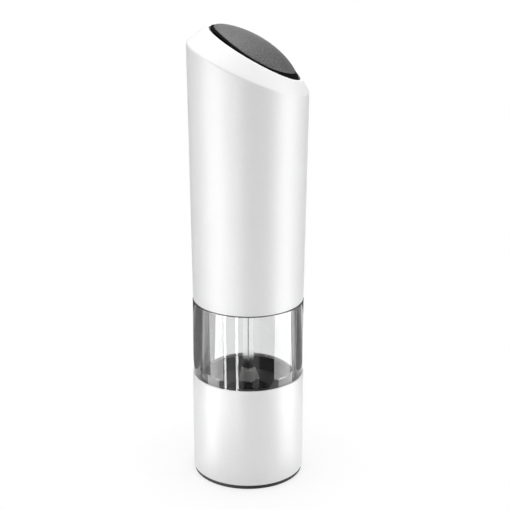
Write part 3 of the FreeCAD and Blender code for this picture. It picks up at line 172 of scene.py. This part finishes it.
# %% Outside finishes
materials = {
    # satin lacquer: broad soft highlights on an even white
    "white_plastic": surface("satin_white_abs", ("#EFEFF0", "#F3F3F3"), rough=(0.44, 0.50),
                             grain_mm=0.6, depth_mm=0.0006, IOR=1.5),
    # polished clear moulding: sharp refraction, hardly any tint
    "clear_plastic": surface("polished_clear_san", ("#FCFDFD", "#FFFFFF"), rough=(0.0, 0.012),
                             grain_mm=6.0, depth_mm=0.0004, IOR=1.52, Transmission_Weight=1.0),
    # soft-touch coat: matt, with a speckle that is drawn coarser than the real one
    "grey_pad": surface("soft_touch_grey_coat", ("#2F2F30", "#676768"), rough=(0.46, 0.62),
                        grain_mm=0.55, depth_mm=0.02, detail=2.0, IOR=1.5),
    # moulded rubber: dull and slightly dusty
    "foot_rubber": surface("moulded_black_rubber", ("#0B0B0B", "#151515"), rough=(0.55, 0.72),
                           grain_mm=1.2, depth_mm=0.01, IOR=1.52),
    # softer seal rubber: a shade paler
    "seal_rubber": surface("moulded_seal_rubber", ("#161616", "#242424"), rough=(0.5, 0.66),
                           grain_mm=0.8, depth_mm=0.008, IOR=1.52),
    # spark-eroded moulding grain, drawn coarser: black that greys where it catches the light
    "black_plastic": surface("grained_black_abs", ("#040405", "#08080A"), rough=(0.4, 0.52),
                             grain_mm=0.5, depth_mm=0.006, IOR=1.5, Specular_IOR_Level=0.2),
}
print("outside finishes:", len(materials))

# %% [markdown]
# ## Finishes on the works
# Inside are fired ceramic burrs, waxy POM gears and hub, drawn and plated steel, turned brass, paper
# laminate and printed film round the cells. Metals keep the default IOR. On drawn pieces the noise is
# stretched along the axis, as drawing leaves fine lengthwise lines.

# %% Inside finishes
materials.update({
    # fired dark with oxides: dry, almost black, with a sandy grain
    "burr_ceramic": surface("fired_dark_ceramic", ("#161616", "#262525"), rough=(0.45, 0.62),
                            grain_mm=0.7, depth_mm=0.02, detail=5.0, IOR=1.6),
    # pale grey plastic from a polished mould: smooth, with a slight gloss
    "hub_plastic": surface("moulded_pale_pom", ("#9A9A98", "#B4B4B2"), rough=(0.1, 0.2),
                           grain_mm=1.6, depth_mm=0.004, IOR=1.48),
    # natural plastic: waxy and cream-coloured
    "gear_plastic": surface("moulded_natural_pom", ("#DED8C8", "#ECE8DC"), rough=(0.34, 0.46),
                            grain_mm=1.4, depth_mm=0.004, IOR=1.48),
    # bright drawn bar: clean reflections broken by lengthwise lines, drawn coarser than real ones
    "shaft_steel": surface("drawn_bright_steel", ("#F4F4F5", "#FDFDFD"), rough=(0.12, 0.22),
                           grain_mm=0.25, depth_mm=0.002, stretch=25.0, Metallic=1.0),
    # zinc plating: a soft grey sheen
    "plated_steel": surface("zinc_plated_steel", ("#AEB0B2", "#CBCDCE"), rough=(0.26, 0.4),
                            grain_mm=0.6, depth_mm=0.004, Metallic=1.0),
    # deep-drawn can: greyer, with lengthwise lines
    "motor_steel": surface("drawn_plated_steel", ("#A4A6A8", "#BFC1C2"), rough=(0.26, 0.38),
                           grain_mm=0.5, depth_mm=0.003, stretch=18.0, Metallic=1.0),
    # turned brass: warm and bright
    "pinion_brass": surface("turned_brass", ("#B8924A", "#D3B064"), rough=(0.2, 0.34),
                            grain_mm=0.4, depth_mm=0.003, Metallic=1.0),
    # printed film shrunk round a steel can: dark, under a glossy skin
    "cell_wrap": surface("printed_cell_film", ("#23272F", "#343A45"), rough=(0.24, 0.34),
                         grain_mm=3.0, depth_mm=0.004, stretch=8.0, IOR=1.5,
                         Coat_Weight=0.5, Coat_Roughness=0.08),
    # pressed paper and resin: brown with fibres
    "board_laminate": surface("paper_laminate", ("#6E4A22", "#976B38"), rough=(0.4, 0.56),
                              grain_mm=0.8, depth_mm=0.006, detail=5.0, IOR=1.5),
})
print("finishes:", len(materials))

# %% [markdown]
# ## Rings and fillets
# Every outer piece is a loop of rings round the mill. A ring is an array with one point for each bearing, so
# a ring may also lean, as the slanted top does. Each corner of the loop is rounded by an exact circular arc,
# which is how a moulding gets its edge radius. A plain cylinder would have no such edge to catch the light.

# %% Ring and fillet helpers
BEARINGS = 256
LONGEST_REACH = 0.45
turn = np.linspace(0.0, 2.0 * np.pi, BEARINGS, endpoint=False)


def ring(radius, height, centre=0.0):
    """Points of a level circle: x = centre + radius cos t, y = radius sin t, z = height."""
    x, y = centre + radius * np.cos(turn), radius * np.sin(turn)
    return np.stack([x, y, np.full_like(turn, height)], axis=-1)


def rounded_corner(before, corner, after, radius, steps):
    """Rings of the arc that rounds a corner between its neighbours.

    The arc leaves each side radius * tan(half turn) from the corner, but at most LONGEST_REACH of that
    side, and is the conic with weight cos(half turn), which is a true circle."""
    back, ahead = before - corner, after - corner
    back_length = np.linalg.norm(back, axis=-1, keepdims=True)
    ahead_length = np.linalg.norm(ahead, axis=-1, keepdims=True)
    back, ahead = back / back_length, ahead / ahead_length
    between = np.arccos(np.clip((back * ahead).sum(-1, keepdims=True), -1.0, 1.0))
    half_turn = (np.pi - between) / 2.0
    reach = np.minimum(radius * np.tan(half_turn), LONGEST_REACH * np.minimum(back_length, ahead_length))
    s = np.linspace(0.0, 1.0, steps + 1)[:, None, None]
    start, middle, end = (1.0 - s) ** 2, 2.0 * s * (1.0 - s) * np.cos(half_turn), s ** 2
    return corner + reach * (start * back + end * ahead) / (start + middle + end)


def rounded_loop(corners, steps=6):
    """A closed loop of rings. A corner is a ring and an edge radius, and becomes an arc unless that is 0."""
    rings = [corner for corner, _ in corners]
    rows = []
    for i, (corner, radius) in enumerate(corners):
        after = rings[(i + 1) % len(rings)]
        rows.append(rounded_corner(rings[i - 1], corner, after, radius, steps) if radius else corner[None])
    return np.concatenate(rows)


print("points round a ring:", BEARINGS)

# %% [markdown]
# ## Meshes
# A stack of rings is a grid of points, and four neighbours in the grid make a face. The mesh could also be
# spun from a profile with a modifier, but a grid also takes the leaning rings. Each new piece then moves with
# its CAD body and stands for a CAD node, which is no longer shown.

# %% Mesh helpers


def make_piece(name, rows, body, slot, node, sharp=30.0, poles=False, finish=None):
    """Joins neighbouring rings by quads into a mesh that stands for a CAD node.

    The last ring meets the first one, or with poles both end in a fan round their middle points. Edges that
    turn by more than sharp degrees stay sharp."""
    count, around = rows.shape[:2]
    spoke = np.arange(around)
    i, j = np.meshgrid(np.arange(count - 1 if poles else count), spoke, indexing="ij")
    up, side = (i + 1) % count, (j + 1) % around
    quads = np.stack([i * around + j, i * around + side, up * around + side, up * around + j], axis=-1)
    points, faces = rows.reshape(-1, 3), quads.reshape(-1, 4).tolist()
    if poles:
        next_spoke, last = np.roll(spoke, -1), (count - 1) * around
        first_pole = np.full(around, len(points))
        faces += np.stack([first_pole, next_spoke, spoke], axis=-1).tolist()
        faces += np.stack([first_pole + 1, last + spoke, last + next_spoke], axis=-1).tolist()
        points = np.concatenate([points, rows[[0, -1]].mean(axis=1)])
    mesh = bpy.data.meshes.new(name)
    mesh.from_pydata((points * MM).tolist(), [], faces)
    mesh.polygons.foreach_set("use_smooth", np.ones(len(faces), dtype=bool))
    mesh.set_sharp_from_angle(angle=math.radians(sharp))
    mesh.materials.append(finish or materials[slot])
    piece = bpy.data.objects.new(name, mesh)
    scene.collection.objects.link(piece)
    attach(piece, body)
    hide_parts(node)
    print(f"{name}: {len(faces)} faces")
    return piece


def turned_piece(name, corners, body, slot, node):
    """Corners, each a radius, a height and an edge radius, rounded and turned about the mill's axis."""
    loop = rounded_loop([(ring(radius, height), edge) for radius, height, edge in corners])
    make_piece(name, loop, body, slot, node)


print("mesh helpers are ready")

# %% [markdown]
# ## White base and foot ring
# The base sleeve is a plain tube with softened edges. It stands on a rubber ring that is set back a little,
# so a thin dark line shows under the white. Both are turned profiles, the plainest way to a true round.

# %% Base and foot ring
BASE_BORE, BASE_RADIUS, BASE_FOOT, BASE_TOP = 25.1, 26.5, 2.0, 51.0
FOOT_BORE, FOOT_RADIUS = 21.5, 26.0

base_corners = [(BASE_BORE, BASE_FOOT, 0.15), (BASE_RADIUS, BASE_FOOT, 0.35), (BASE_RADIUS, BASE_TOP, 0.35),
                (BASE_BORE, BASE_TOP, 0.15)]
turned_piece("base_sleeve_skin", base_corners, "base", "white_plastic", "base_sleeve")
foot_corners = [(FOOT_BORE, 0.0, 0.3), (FOOT_RADIUS, 0.0, 0.5), (FOOT_RADIUS, BASE_FOOT, 0.1),
                (FOOT_BORE, BASE_FOOT, 0.1)]
turned_piece("foot_ring_skin", foot_corners, "base", "foot_rubber", "foot_ring")

# %% [markdown]
# ## Clear tank
# The tank is one thick clear moulding: a spigot in the base, the window, and a narrower neck with a groove
# for its seal. One turned profile gives all of it. The wall needs both its surfaces, because light bends at
# each, and that draws the dark bands.

# %% Clear tank
TANK_BORE, SPIGOT_RADIUS, WINDOW_RADIUS = 22.25, 25.0, 26.25
NECK_BORE, GROOVE_RADIUS, NECK_RADIUS = 20.9, 21.9, 23.1
TANK_FOOT, BORE_TOP, WINDOW_TOP = 46.0, 86.65, 88.0
GROOVE_FOOT, GROOVE_TOP, NECK_TOP = 90.5, 91.9, 94.5

tank_corners = [
    (TANK_BORE, TANK_FOOT, 0.2), (SPIGOT_RADIUS, TANK_FOOT, 0.2), (SPIGOT_RADIUS, BASE_TOP, 0.1),
    (WINDOW_RADIUS, BASE_TOP, 0.15), (WINDOW_RADIUS, WINDOW_TOP, 0.3), (NECK_RADIUS, WINDOW_TOP, 0.15),
    (NECK_RADIUS, GROOVE_FOOT, 0.1), (GROOVE_RADIUS, GROOVE_FOOT, 0.1), (GROOVE_RADIUS, GROOVE_TOP, 0.1),
    (NECK_RADIUS, GROOVE_TOP, 0.1), (NECK_RADIUS, NECK_TOP, 0.3), (NECK_BORE, NECK_TOP, 0.3),
    (NECK_BORE, WINDOW_TOP, 0.3), (TANK_BORE, BORE_TOP, 0.6)]
turned_piece("pepper_tank_skin", tank_corners, "base", "clear_plastic", "pepper_tank")

# %% [markdown]
# ## Drive shaft
# A square bar carries the motor's turn down to the burr. It stands on one corner in the window, so two of its
# sides show, with a thin line where that corner is cut off. It is a ring whose radius changes with the bearing,
# which keeps it in the same grid as the round pieces.

# %% Drive shaft
SHAFT_SIDE, SHAFT_CORNER, SHAFT_FOOT, SHAFT_TOP = 4.0, 2.6, 34.6, 93.2


def square_ring(height):
    """A square on its corner: half the side over the larger of |cos| and |sin|, at most SHAFT_CORNER out."""
    bearing = turn - np.pi / 4.0
    radius = SHAFT_SIDE / 2.0 / np.maximum(np.abs(np.cos(bearing)), np.abs(np.sin(bearing)))
    return ring(np.minimum(radius, SHAFT_CORNER), height)


make_piece("drive_shaft_skin", np.stack([square_ring(SHAFT_FOOT), square_ring(SHAFT_TOP)]), "mill_rotor",
           "shaft_steel", "drive_shaft", poles=True)

# %% [markdown]
# ## Feed hub
# At the shaft's foot sits a pale hub with five fins that stir the peppercorns, on a black cone. The fins could
# be separate blades, but as a moulding they run into the core, so here they are waves in the ring's radius.

# %% Feed hub
FINS, FIN_SHARPNESS = 5, 10
HUB_BORE, HUB_FOOT, HUB_SHOULDER, HUB_TOP = 2.9, 48.0, 49.0, 53.3
CONE_FOOT, CONE_RIM, CONE_RADIUS, CONE_TOP_RADIUS = 44.7, 45.9, 5.6, 4.9


def fin_ring(core, tip, height):
    """A core circle with fins: core + (tip - core) * (half of 1 + cos(fins * t)) to the power FIN_SHARPNESS."""
    return ring(core + (tip - core) * (0.5 + 0.5 * np.cos(FINS * turn)) ** FIN_SHARPNESS, height)


hub_corners = [(ring(HUB_BORE, HUB_FOOT), 0.0),
               (fin_ring(core=3.7, tip=5.3, height=HUB_FOOT), 0.15),
               (fin_ring(core=3.6, tip=5.1, height=HUB_SHOULDER), 0.4),
               (fin_ring(core=3.3, tip=3.5, height=HUB_TOP), 0.15),
               (ring(HUB_BORE, HUB_TOP), 0.0)]
make_piece("feed_hub_skin", rounded_loop(hub_corners), "mill_rotor", "hub_plastic", "feed_hub")
cone_corners = [(HUB_BORE, CONE_FOOT, 0.0), (CONE_RADIUS, CONE_FOOT, 0.3), (CONE_RADIUS, CONE_RIM, 0.3),
                (CONE_TOP_RADIUS, HUB_FOOT, 0.2), (HUB_BORE, HUB_FOOT, 0.0)]
turned_piece("feed_cone_skin", cone_corners, "mill_rotor", "black_plastic", "feed_hub")

# %% [markdown]
# ## White upper housing
# The sleeve flares upwards by less than a degree and is cut by a slanted plane. A bevelled band rises from
# that crease to the rim round the button. Crease and rim are ellipses on planes of different tilt, and
# straight lines join them, so the band is wider on the high side than on the low one. A bevel modifier would
# make it equally wide all round.

# %% Slope helpers
HOUSING_FOOT, HOUSING_FOOT_RADIUS = 88.3, 26.1
FLARE = math.tan(math.radians(0.83))
CREASE_LEVEL, CREASE_TILT = 198.4, math.tan(math.radians(22.7))


def on_slope(points, level, tilt, x_at_level=0.0):
    """Lifts points to the plane z = level - tilt * (x - x_at_level)."""
    return np.column_stack([points[:, :2], level - tilt * (points[:, 0] - x_at_level)])


def crease_ring():
    """The flared sleeve cut by the crease plane: in plan x = x0 + a cos t and y = b sin t."""
    radius = HOUSING_FOOT_RADIUS + FLARE * (CREASE_LEVEL - HOUSING_FOOT)
    bend = FLARE * CREASE_TILT
    narrow = 1.0 - bend ** 2
    stretched = ring(radius, 0.0) * (1.0 / narrow, 1.0 / math.sqrt(narrow), 0.0)
    return on_slope(stretched - (radius * bend / narrow, 0.0, 0.0), CREASE_LEVEL, CREASE_TILT)


def at_bearings_of(points, radius, height):
    """A level circle whose points keep the bearings that other points have about the axis."""
    plan = points[:, :2] / np.linalg.norm(points[:, :2], axis=1, keepdims=True)
    return np.column_stack([plan * radius, np.full(len(points), height)])


crease = crease_ring()
print("crease: from", round(crease[:, 2].min(), 1), "to", round(crease[:, 2].max(), 1), "mm high")

# %% Upper housing
HOUSING_BORE, ROOF_LEVEL = 24.6, CREASE_LEVEL + 0.8
RIM_LEVEL, RIM_TILT, RIM_RADIUS = 205.0, math.tan(math.radians(29.2)), 21.6
OPENING_RADIUS, OPENING_X = 20.5, 2.85

rim = on_slope(ring(RIM_RADIUS, 0.0, OPENING_X), RIM_LEVEL, RIM_TILT, OPENING_X)
mouth = on_slope(ring(OPENING_RADIUS, 0.0, OPENING_X), RIM_LEVEL, RIM_TILT, OPENING_X)
under_mouth = on_slope(mouth, ROOF_LEVEL, CREASE_TILT)
foot_out = at_bearings_of(crease, HOUSING_FOOT_RADIUS, HOUSING_FOOT)
foot_in = at_bearings_of(crease, HOUSING_BORE, HOUSING_FOOT)
roof_edge = on_slope(foot_in, ROOF_LEVEL, CREASE_TILT)
housing_corners = [(foot_out, 0.3), (crease, 1.6), (rim, 0.35), (mouth, 0.25), (under_mouth, 0.0),
                   (roof_edge, 0.5), (foot_in, 0.15)]
make_piece("upper_housing_skin", rounded_loop(housing_corners, steps=10), "upper_housing", "white_plastic",
           "upper_housing", sharp=40.0)

# %% [markdown]
# ## Grey push button
# The pad is a skin of even thickness on a dome that curves two ways: a long arc down the slope and a tighter
# one across it. Turning the cross arc about a level axis gives both at once, where a stretched sphere would
# give neither arc its own radius. The pad falls away a little towards its edge, so that a thin line of light
# runs along the near side.

# %% Dome helpers
BUTTON_RADIUS, END_FALL, END_FALL_POWER = 19.7, 1.1, 6
DOME_X, DOME_Z, DOME_NECK, DOME_CROSS = -19.5, 168.0, 20.3, 30.0


def dome_ring(radius, inset=0.0):
    """A circle of the button's plan lifted to the dome, or to the dome sunk by an inset.

    The dome's distance from its level axis is neck + sqrt(cross^2 - y^2), and z follows from x."""
    x, y, _ = ring(radius, 0.0, OPENING_X).T
    reach = DOME_NECK + np.sqrt((DOME_CROSS - inset) ** 2 - y ** 2)
    return np.column_stack([x, y, DOME_Z + np.sqrt(reach ** 2 - (x - DOME_X) ** 2)])


def lowered(points, drop):
    """Points sunk by a drop, and by END_FALL * (distance along the slope / radius)^END_FALL_POWER more."""
    along = (points[:, 0] - OPENING_X) / BUTTON_RADIUS
    return points - np.outer(drop + END_FALL * along ** END_FALL_POWER, (0.0, 0.0, 1.0))


print("dome's arc along the slope:", DOME_NECK + DOME_CROSS, "mm, across it:", DOME_CROSS, "mm")

# %% Button pad
PAD_RADIUS, PAD_THICKNESS, PAD_EDGE, PAD_UNDER_EDGE = 18.3, 1.6, 0.3, 0.1
PAD_FALL, PAD_FALL_POWER = 0.3, 14
PAD_RINGS, INNER_SHARE, OUTER_SHARE = 48, 0.0004, 0.95

# rings of equal area from the middle to just inside the edge
pad_radii = np.sqrt(np.linspace(INNER_SHARE, OUTER_SHARE, PAD_RINGS)) * PAD_RADIUS
pad_top = [lowered(dome_ring(radius), PAD_FALL * (radius / PAD_RADIUS) ** PAD_FALL_POWER) for radius in pad_radii]
pad_under = [dome_ring(radius, PAD_THICKNESS) for radius in pad_radii]
edge_top, edge_under = lowered(dome_ring(PAD_RADIUS), PAD_FALL), dome_ring(PAD_RADIUS, PAD_THICKNESS)
pad_rows = np.concatenate([
    np.stack(pad_under),
    rounded_corner(pad_under[-1], edge_under, edge_top, PAD_UNDER_EDGE, steps=3),
    rounded_corner(edge_under, edge_top, pad_top[-1], PAD_EDGE, steps=8),
    np.stack(pad_top[::-1])])
make_piece("button_pad_skin", pad_rows, "push_button", "grey_pad", "button_pad", sharp=40.0, poles=True)

# %% [markdown]
# ## Black edge of the button
# The button's black core comes up round the pad and frames it. The frame is a loop of four rings on the same
# dome, set a little lower than the pad. Its finish is darker and duller than the core's: painted shade for the
# gap round the pad.

# %% Button frame
FRAME_BORE, FRAME_DROP = 18.4, 0.3

# black core with a darker finish and hardly any sheen: painted shade for the gap round the pad, read as a dark line
gap_shade_black = surface("black_abs_painted_gap_shade", ("#040405", "#060607"), rough=(0.7, 0.8),
                    grain_mm=0.5, depth_mm=0.004, IOR=1.5, Specular_IOR_Level=0.05)
frame_corners = [(dome_ring(FRAME_BORE, PAD_THICKNESS), 0.0), (dome_ring(BUTTON_RADIUS, PAD_THICKNESS), 0.1),
                 (lowered(dome_ring(BUTTON_RADIUS), FRAME_DROP), 0.35),
                 (lowered(dome_ring(FRAME_BORE), FRAME_DROP), 0.1)]
make_piece("button_frame_skin", rounded_loop(frame_corners), "push_button", "black_plastic", "button_pad",
           sharp=40.0, finish=gap_shade_black)

# %% [markdown]
# ## Button spring
# A coil of plated wire under the button pushes it back up. It is a round wire swept along a helix. The spring
# stands on the housing, so it can't follow the button, and it gets a mesh of its own.

# %% Button spring
COIL_RADIUS, WIRE_RADIUS, COIL_TURNS, COIL_FOOT, COIL_LENGTH = 5.5, 0.35, 5, 188.6, 10.4
STEPS_PER_TURN, WIRE_POINTS = 64, 12


def coil_rings():
    """Rings of the wire: s goes along the coil from 0 to 1, and w round the wire from a full turn to 0.

    The distance from the coil's axis is coil radius + wire radius * cos w, the bearing is s times all turns,
    and the height rises evenly with s, plus wire radius * sin w."""
    s = np.linspace(0.0, 1.0, STEPS_PER_TURN * COIL_TURNS + 1)[:, None]
    w = np.linspace(2.0 * np.pi, 0.0, WIRE_POINTS, endpoint=False)[None, :]
    bearing = 2.0 * np.pi * COIL_TURNS * s
    reach = COIL_RADIUS + WIRE_RADIUS * np.cos(w)
    rise = COIL_FOOT + WIRE_RADIUS + (COIL_LENGTH - 2.0 * WIRE_RADIUS) * s
    x, y = OPENING_X + reach * np.cos(bearing), reach * np.sin(bearing)
    return np.stack([x, y, rise + WIRE_RADIUS * np.sin(w)], axis=-1)


spring = make_piece("button_spring_skin", coil_rings(), "upper_housing", "plated_steel", "button_spring", poles=True)
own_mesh(spring)

# %% [markdown]
# ## Finishes on the CAD pieces
# The works keep their CAD shapes, which are right as they are. Each takes the finish of its slot in the
# record, so that a piece and its finish are named in one place only.

# %% Dress the CAD pieces
for sub_part in frame["record"]["subparts"]:
    node = frame["nodes"][sub_part["node"]]
    node.data.materials.clear()
    node.data.materials.append(materials[sub_part["material_slot"]])
print("dressed:", len(frame["nodes"]))

# %% [markdown]
# ## White floor
# The mill stands on a white sheet. Near it the sheet is a real surface that takes the shadow; further out it
# shades over to plain white for the camera, for mirrors and for glass, so no lamp has to light the whole sheet.

# %% Floor sheet
FLOOR_REACH = 4.0

floor_mesh = bpy.data.meshes.new("floor")
floor_corners = [(x * FLOOR_REACH, y * FLOOR_REACH, 0.0) for x, y in ((-1, -1), (1, -1), (1, 1), (-1, 1))]
floor_mesh.from_pydata(floor_corners, [], [(0, 1, 2, 3)])
floor = bpy.data.objects.new("floor", floor_mesh)
scene.collection.objects.link(floor)
print("floor:", 2.0 * FLOOR_REACH, "m across")

# %% Floor finish
FADE_START, FADE_END, NEAR_SHARE = 0.027, 0.07, 0.68


def seen_directly(tree):
    """1 for a ray from the camera, a mirror or through glass, and 0 for the light that falls on things."""
    rays = add(tree, "ShaderNodeLightPath")
    clear = {0: rays["Is Camera Ray"], 1: rays["Is Transmission Ray"]}
    seen = add(tree, "ShaderNodeMath", clear, operation="MAXIMUM")[0]
    return add(tree, "ShaderNodeMath", {0: seen, 1: rays["Is Glossy Ray"]}, operation="MAXIMUM")[0]


# coated paper: even and matt
paper = bpy.data.materials.new("white_paper")
tree = empty_tree(paper)
seen = seen_directly(tree)
place = add(tree, "ShaderNodeTexCoord")["Object"]
far = add(tree, "ShaderNodeVectorMath", {0: place}, operation="LENGTH")["Value"]
fading = {"Value": far, "From Min": FADE_START, "From Max": FADE_END, "To Min": NEAR_SHARE}
fade = add(tree, "ShaderNodeMapRange", fading, interpolation_type="SMOOTHSTEP")["Result"]
share = add(tree, "ShaderNodeMath", {0: seen, 1: fade}, operation="MULTIPLY")[0]
sheet = add(tree, "ShaderNodeBsdfDiffuse", {"Color": linear("#F6F6F6")})["BSDF"]
white = add(tree, "ShaderNodeEmission", {"Color": linear("#FFFFFF"), "Strength": 1.0})["Emission"]
blend = add(tree, "ShaderNodeMixShader", {0: share, 1: sheet, 2: white})["Shader"]
add(tree, "ShaderNodeOutputMaterial", {"Surface": blend})
floor_mesh.materials.append(paper)
print("floor is plain white from", FADE_END, "m")

# %% [markdown]
# ## Background and ambient light
# A white studio lights a thing softly from all round. The same white would be far too bright as ambient light,
# so the world is plain white where it is seen and weaker where it lights the mill.

# %% World
AMBIENT = 0.41

world = bpy.data.worlds.new("studio")
tree = empty_tree(world)
seen = seen_directly(tree)
soft = add(tree, "ShaderNodeBackground", {"Color": linear("#FFFFFF"), "Strength": AMBIENT})["Background"]
white = add(tree, "ShaderNodeBackground", {"Color": linear("#FFFFFF"), "Strength": 1.0})["Background"]
blend = add(tree, "ShaderNodeMixShader", {0: seen, 1: soft, 2: white})["Shader"]
add(tree, "ShaderNodeOutputWorld", {"Surface": blend})
scene.world = world
print("ambient light:", AMBIENT)

# %% [markdown]
# ## Studio lamps
# Two weak soft boxes at the sides and a large one overhead give the even light. A satin skin shows a lamp as a
# bright stripe and a polished one as a sharp streak. Those come from close lamps that only reflections see: a
# tall one on each side, a small one nearer in for the foot, and two thin ones for the streaks in the window.

# %% Lamps
BOX_DISTANCE, BOX_HEIGHT, BOX_SIZE, BOX_POWER = 0.75, 0.3, (0.4, 0.6), 1.0
TOP_DISTANCE, TOP_HEIGHT, TOP_SIZE, TOP_POWER, TOP_LEAN = 0.1, 1.0, (0.8, 0.8), 8.0, math.radians(83.0)


def soft_box(name, bearing, distance, height, size, power, lean=0.0, reflected_only=False):
    """A soft box that faces the axis from a bearing and leans over it, in metres and watts.

    The bearing is in degrees from the camera's side towards +X: x = distance sin b, y = -distance cos b."""
    data = bpy.data.lights.new(name, "AREA")
    data.shape = "RECTANGLE"
    data.size, data.size_y = size
    data.energy = power
    lamp = bpy.data.objects.new(name, data)
    angle = math.radians(bearing)
    lamp.location = (distance * math.sin(angle), -distance * math.cos(angle), height)
    lamp.rotation_euler = (math.pi / 2.0 - lean, 0.0, angle)
    lamp.visible_camera = False
    lamp.visible_diffuse = not reflected_only
    lamp.visible_transmission = not reflected_only
    scene.collection.objects.link(lamp)


soft_box("left_box", -75.0, BOX_DISTANCE, BOX_HEIGHT, BOX_SIZE, BOX_POWER)
soft_box("right_box", 80.0, BOX_DISTANCE, BOX_HEIGHT, BOX_SIZE, BOX_POWER)
soft_box("top_box", 180.0, TOP_DISTANCE, TOP_HEIGHT, TOP_SIZE, TOP_POWER, lean=TOP_LEAN)
print("lamps:", len(bpy.data.lights))

# %% Lamps for reflections
GLOW_DISTANCE, GLOW_HEIGHT, GLOW_TALL = 0.07, 0.1195, 0.181
FOOT_DISTANCE, FOOT_HEIGHT, FOOT_TALL = 0.045, 0.022, 0.044
STREAK_HEIGHT, STREAK_SIZE, STREAK_POWER = 0.105, (0.005, 0.21), 0.045

glows = [  # name, bearing, distance, height, size, power
    ("left_glow", -58.0, GLOW_DISTANCE, GLOW_HEIGHT, (0.035, GLOW_TALL), 0.106),
    ("left_foot_glow", -58.0, FOOT_DISTANCE, FOOT_HEIGHT, (0.019, FOOT_TALL), 0.0122),
    ("right_glow", 65.0, GLOW_DISTANCE, GLOW_HEIGHT, (0.046, GLOW_TALL), 0.122),
    ("right_foot_glow", 65.0, FOOT_DISTANCE, FOOT_HEIGHT, (0.025, FOOT_TALL), 0.0138),
    ("left_streak", -39.8, GLOW_DISTANCE, STREAK_HEIGHT, STREAK_SIZE, STREAK_POWER),
    ("front_streak", -18.8, GLOW_DISTANCE, STREAK_HEIGHT, STREAK_SIZE, STREAK_POWER)]
for glow in glows:
    soft_box(*glow, reflected_only=True)
print("lamps for reflections:", len(glows))

# %% [markdown]
# ## Flags
# Photographers set dark cards beside a white or clear object on a white ground. Seen in its surface and through
# its wall, they draw the dark lines that part its edges from the ground, the line on the shaft's corner and a
# calm middle. A pale lit card behind the window sets the bright bar off from the ground.

# %% Card helper
# dyed card: matt grey
dark_card = surface("matt_grey_card", ("#646464", "#6C6C6C"), rough=(0.8, 0.9), grain_mm=2.0, depth_mm=0.0)
# card under a lamp: an even pale glow
lit_card = surface("lit_pale_card", ("#000000", "#000000"), rough=(0.8, 0.9), grain_mm=2.0, depth_mm=0.0,
                   Emission_Color=linear("#E6E6E6"), Emission_Strength=1.0)


def flag(name, bearing, distance, width, height, seen_by, finish):
    """An upright card that faces the axis from a bearing, half its width to each side of its middle.

    Only the named kinds of light ray meet it."""
    angle = math.radians(bearing)
    middle = distance * np.array([math.sin(angle), -math.cos(angle)])
    side = width / 2.0 * np.array([math.cos(angle), math.sin(angle)])
    left, right = middle - side, middle + side
    card_mesh = bpy.data.meshes.new(name)
    card_mesh.from_pydata([(*left, 0.0), (*right, 0.0), (*right, height), (*left, height)], [], [(0, 1, 2, 3)])
    card_mesh.materials.append(finish)
    card = bpy.data.objects.new(name, card_mesh)
    card.visible_camera = False
    card.visible_shadow = False
    card.visible_diffuse = "diffuse" in seen_by
    card.visible_glossy = "glossy" in seen_by
    card.visible_transmission = "transmission" in seen_by
    scene.collection.objects.link(card)


print("card finishes:", dark_card.name, lit_card.name)

# %% Cards
CARD_DISTANCE, FRONT_DISTANCE, BACK_DISTANCE = 0.125, 0.1, 0.09
CARD_HEIGHT, FRONT_HEIGHT, BACK_HEIGHT = 0.3, 0.35, 0.1
EVERY_KIND, MIRRORED, THROUGH_WALL = ("diffuse", "glossy", "transmission"), ("glossy",), ("transmission",)

cards = [  # name, bearing, distance, width, height, kinds of ray, finish
    ("left_flag", -138.0, CARD_DISTANCE, 0.13, CARD_HEIGHT, EVERY_KIND, dark_card),
    ("right_flag", 131.0, CARD_DISTANCE, 0.09, CARD_HEIGHT, EVERY_KIND, dark_card),
    ("left_side_flag", -98.0, CARD_DISTANCE, 0.06, CARD_HEIGHT, MIRRORED, dark_card),
    ("left_front_flag", -45.0, CARD_DISTANCE, 0.1, CARD_HEIGHT, THROUGH_WALL, dark_card),
    ("right_front_flag", 45.0, CARD_DISTANCE, 0.1, CARD_HEIGHT, THROUGH_WALL, dark_card),
    ("front_card", 0.0, FRONT_DISTANCE, 0.03, CARD_HEIGHT, THROUGH_WALL, dark_card),
    ("front_flag", 14.0, FRONT_DISTANCE, 0.145, FRONT_HEIGHT, MIRRORED, dark_card),
    ("back_card", 175.0, BACK_DISTANCE, 0.08, BACK_HEIGHT, THROUGH_WALL, lit_card)]
for card in cards:
    flag(*card)
print("cards:", len(cards))

# %% [markdown]
# ## Finish
# The plain view transform shows each colour as it is written. The dressed mill's button is a little lower than
# the CAD model's.

# %% View and finish
scene.view_settings.view_transform = "Standard"
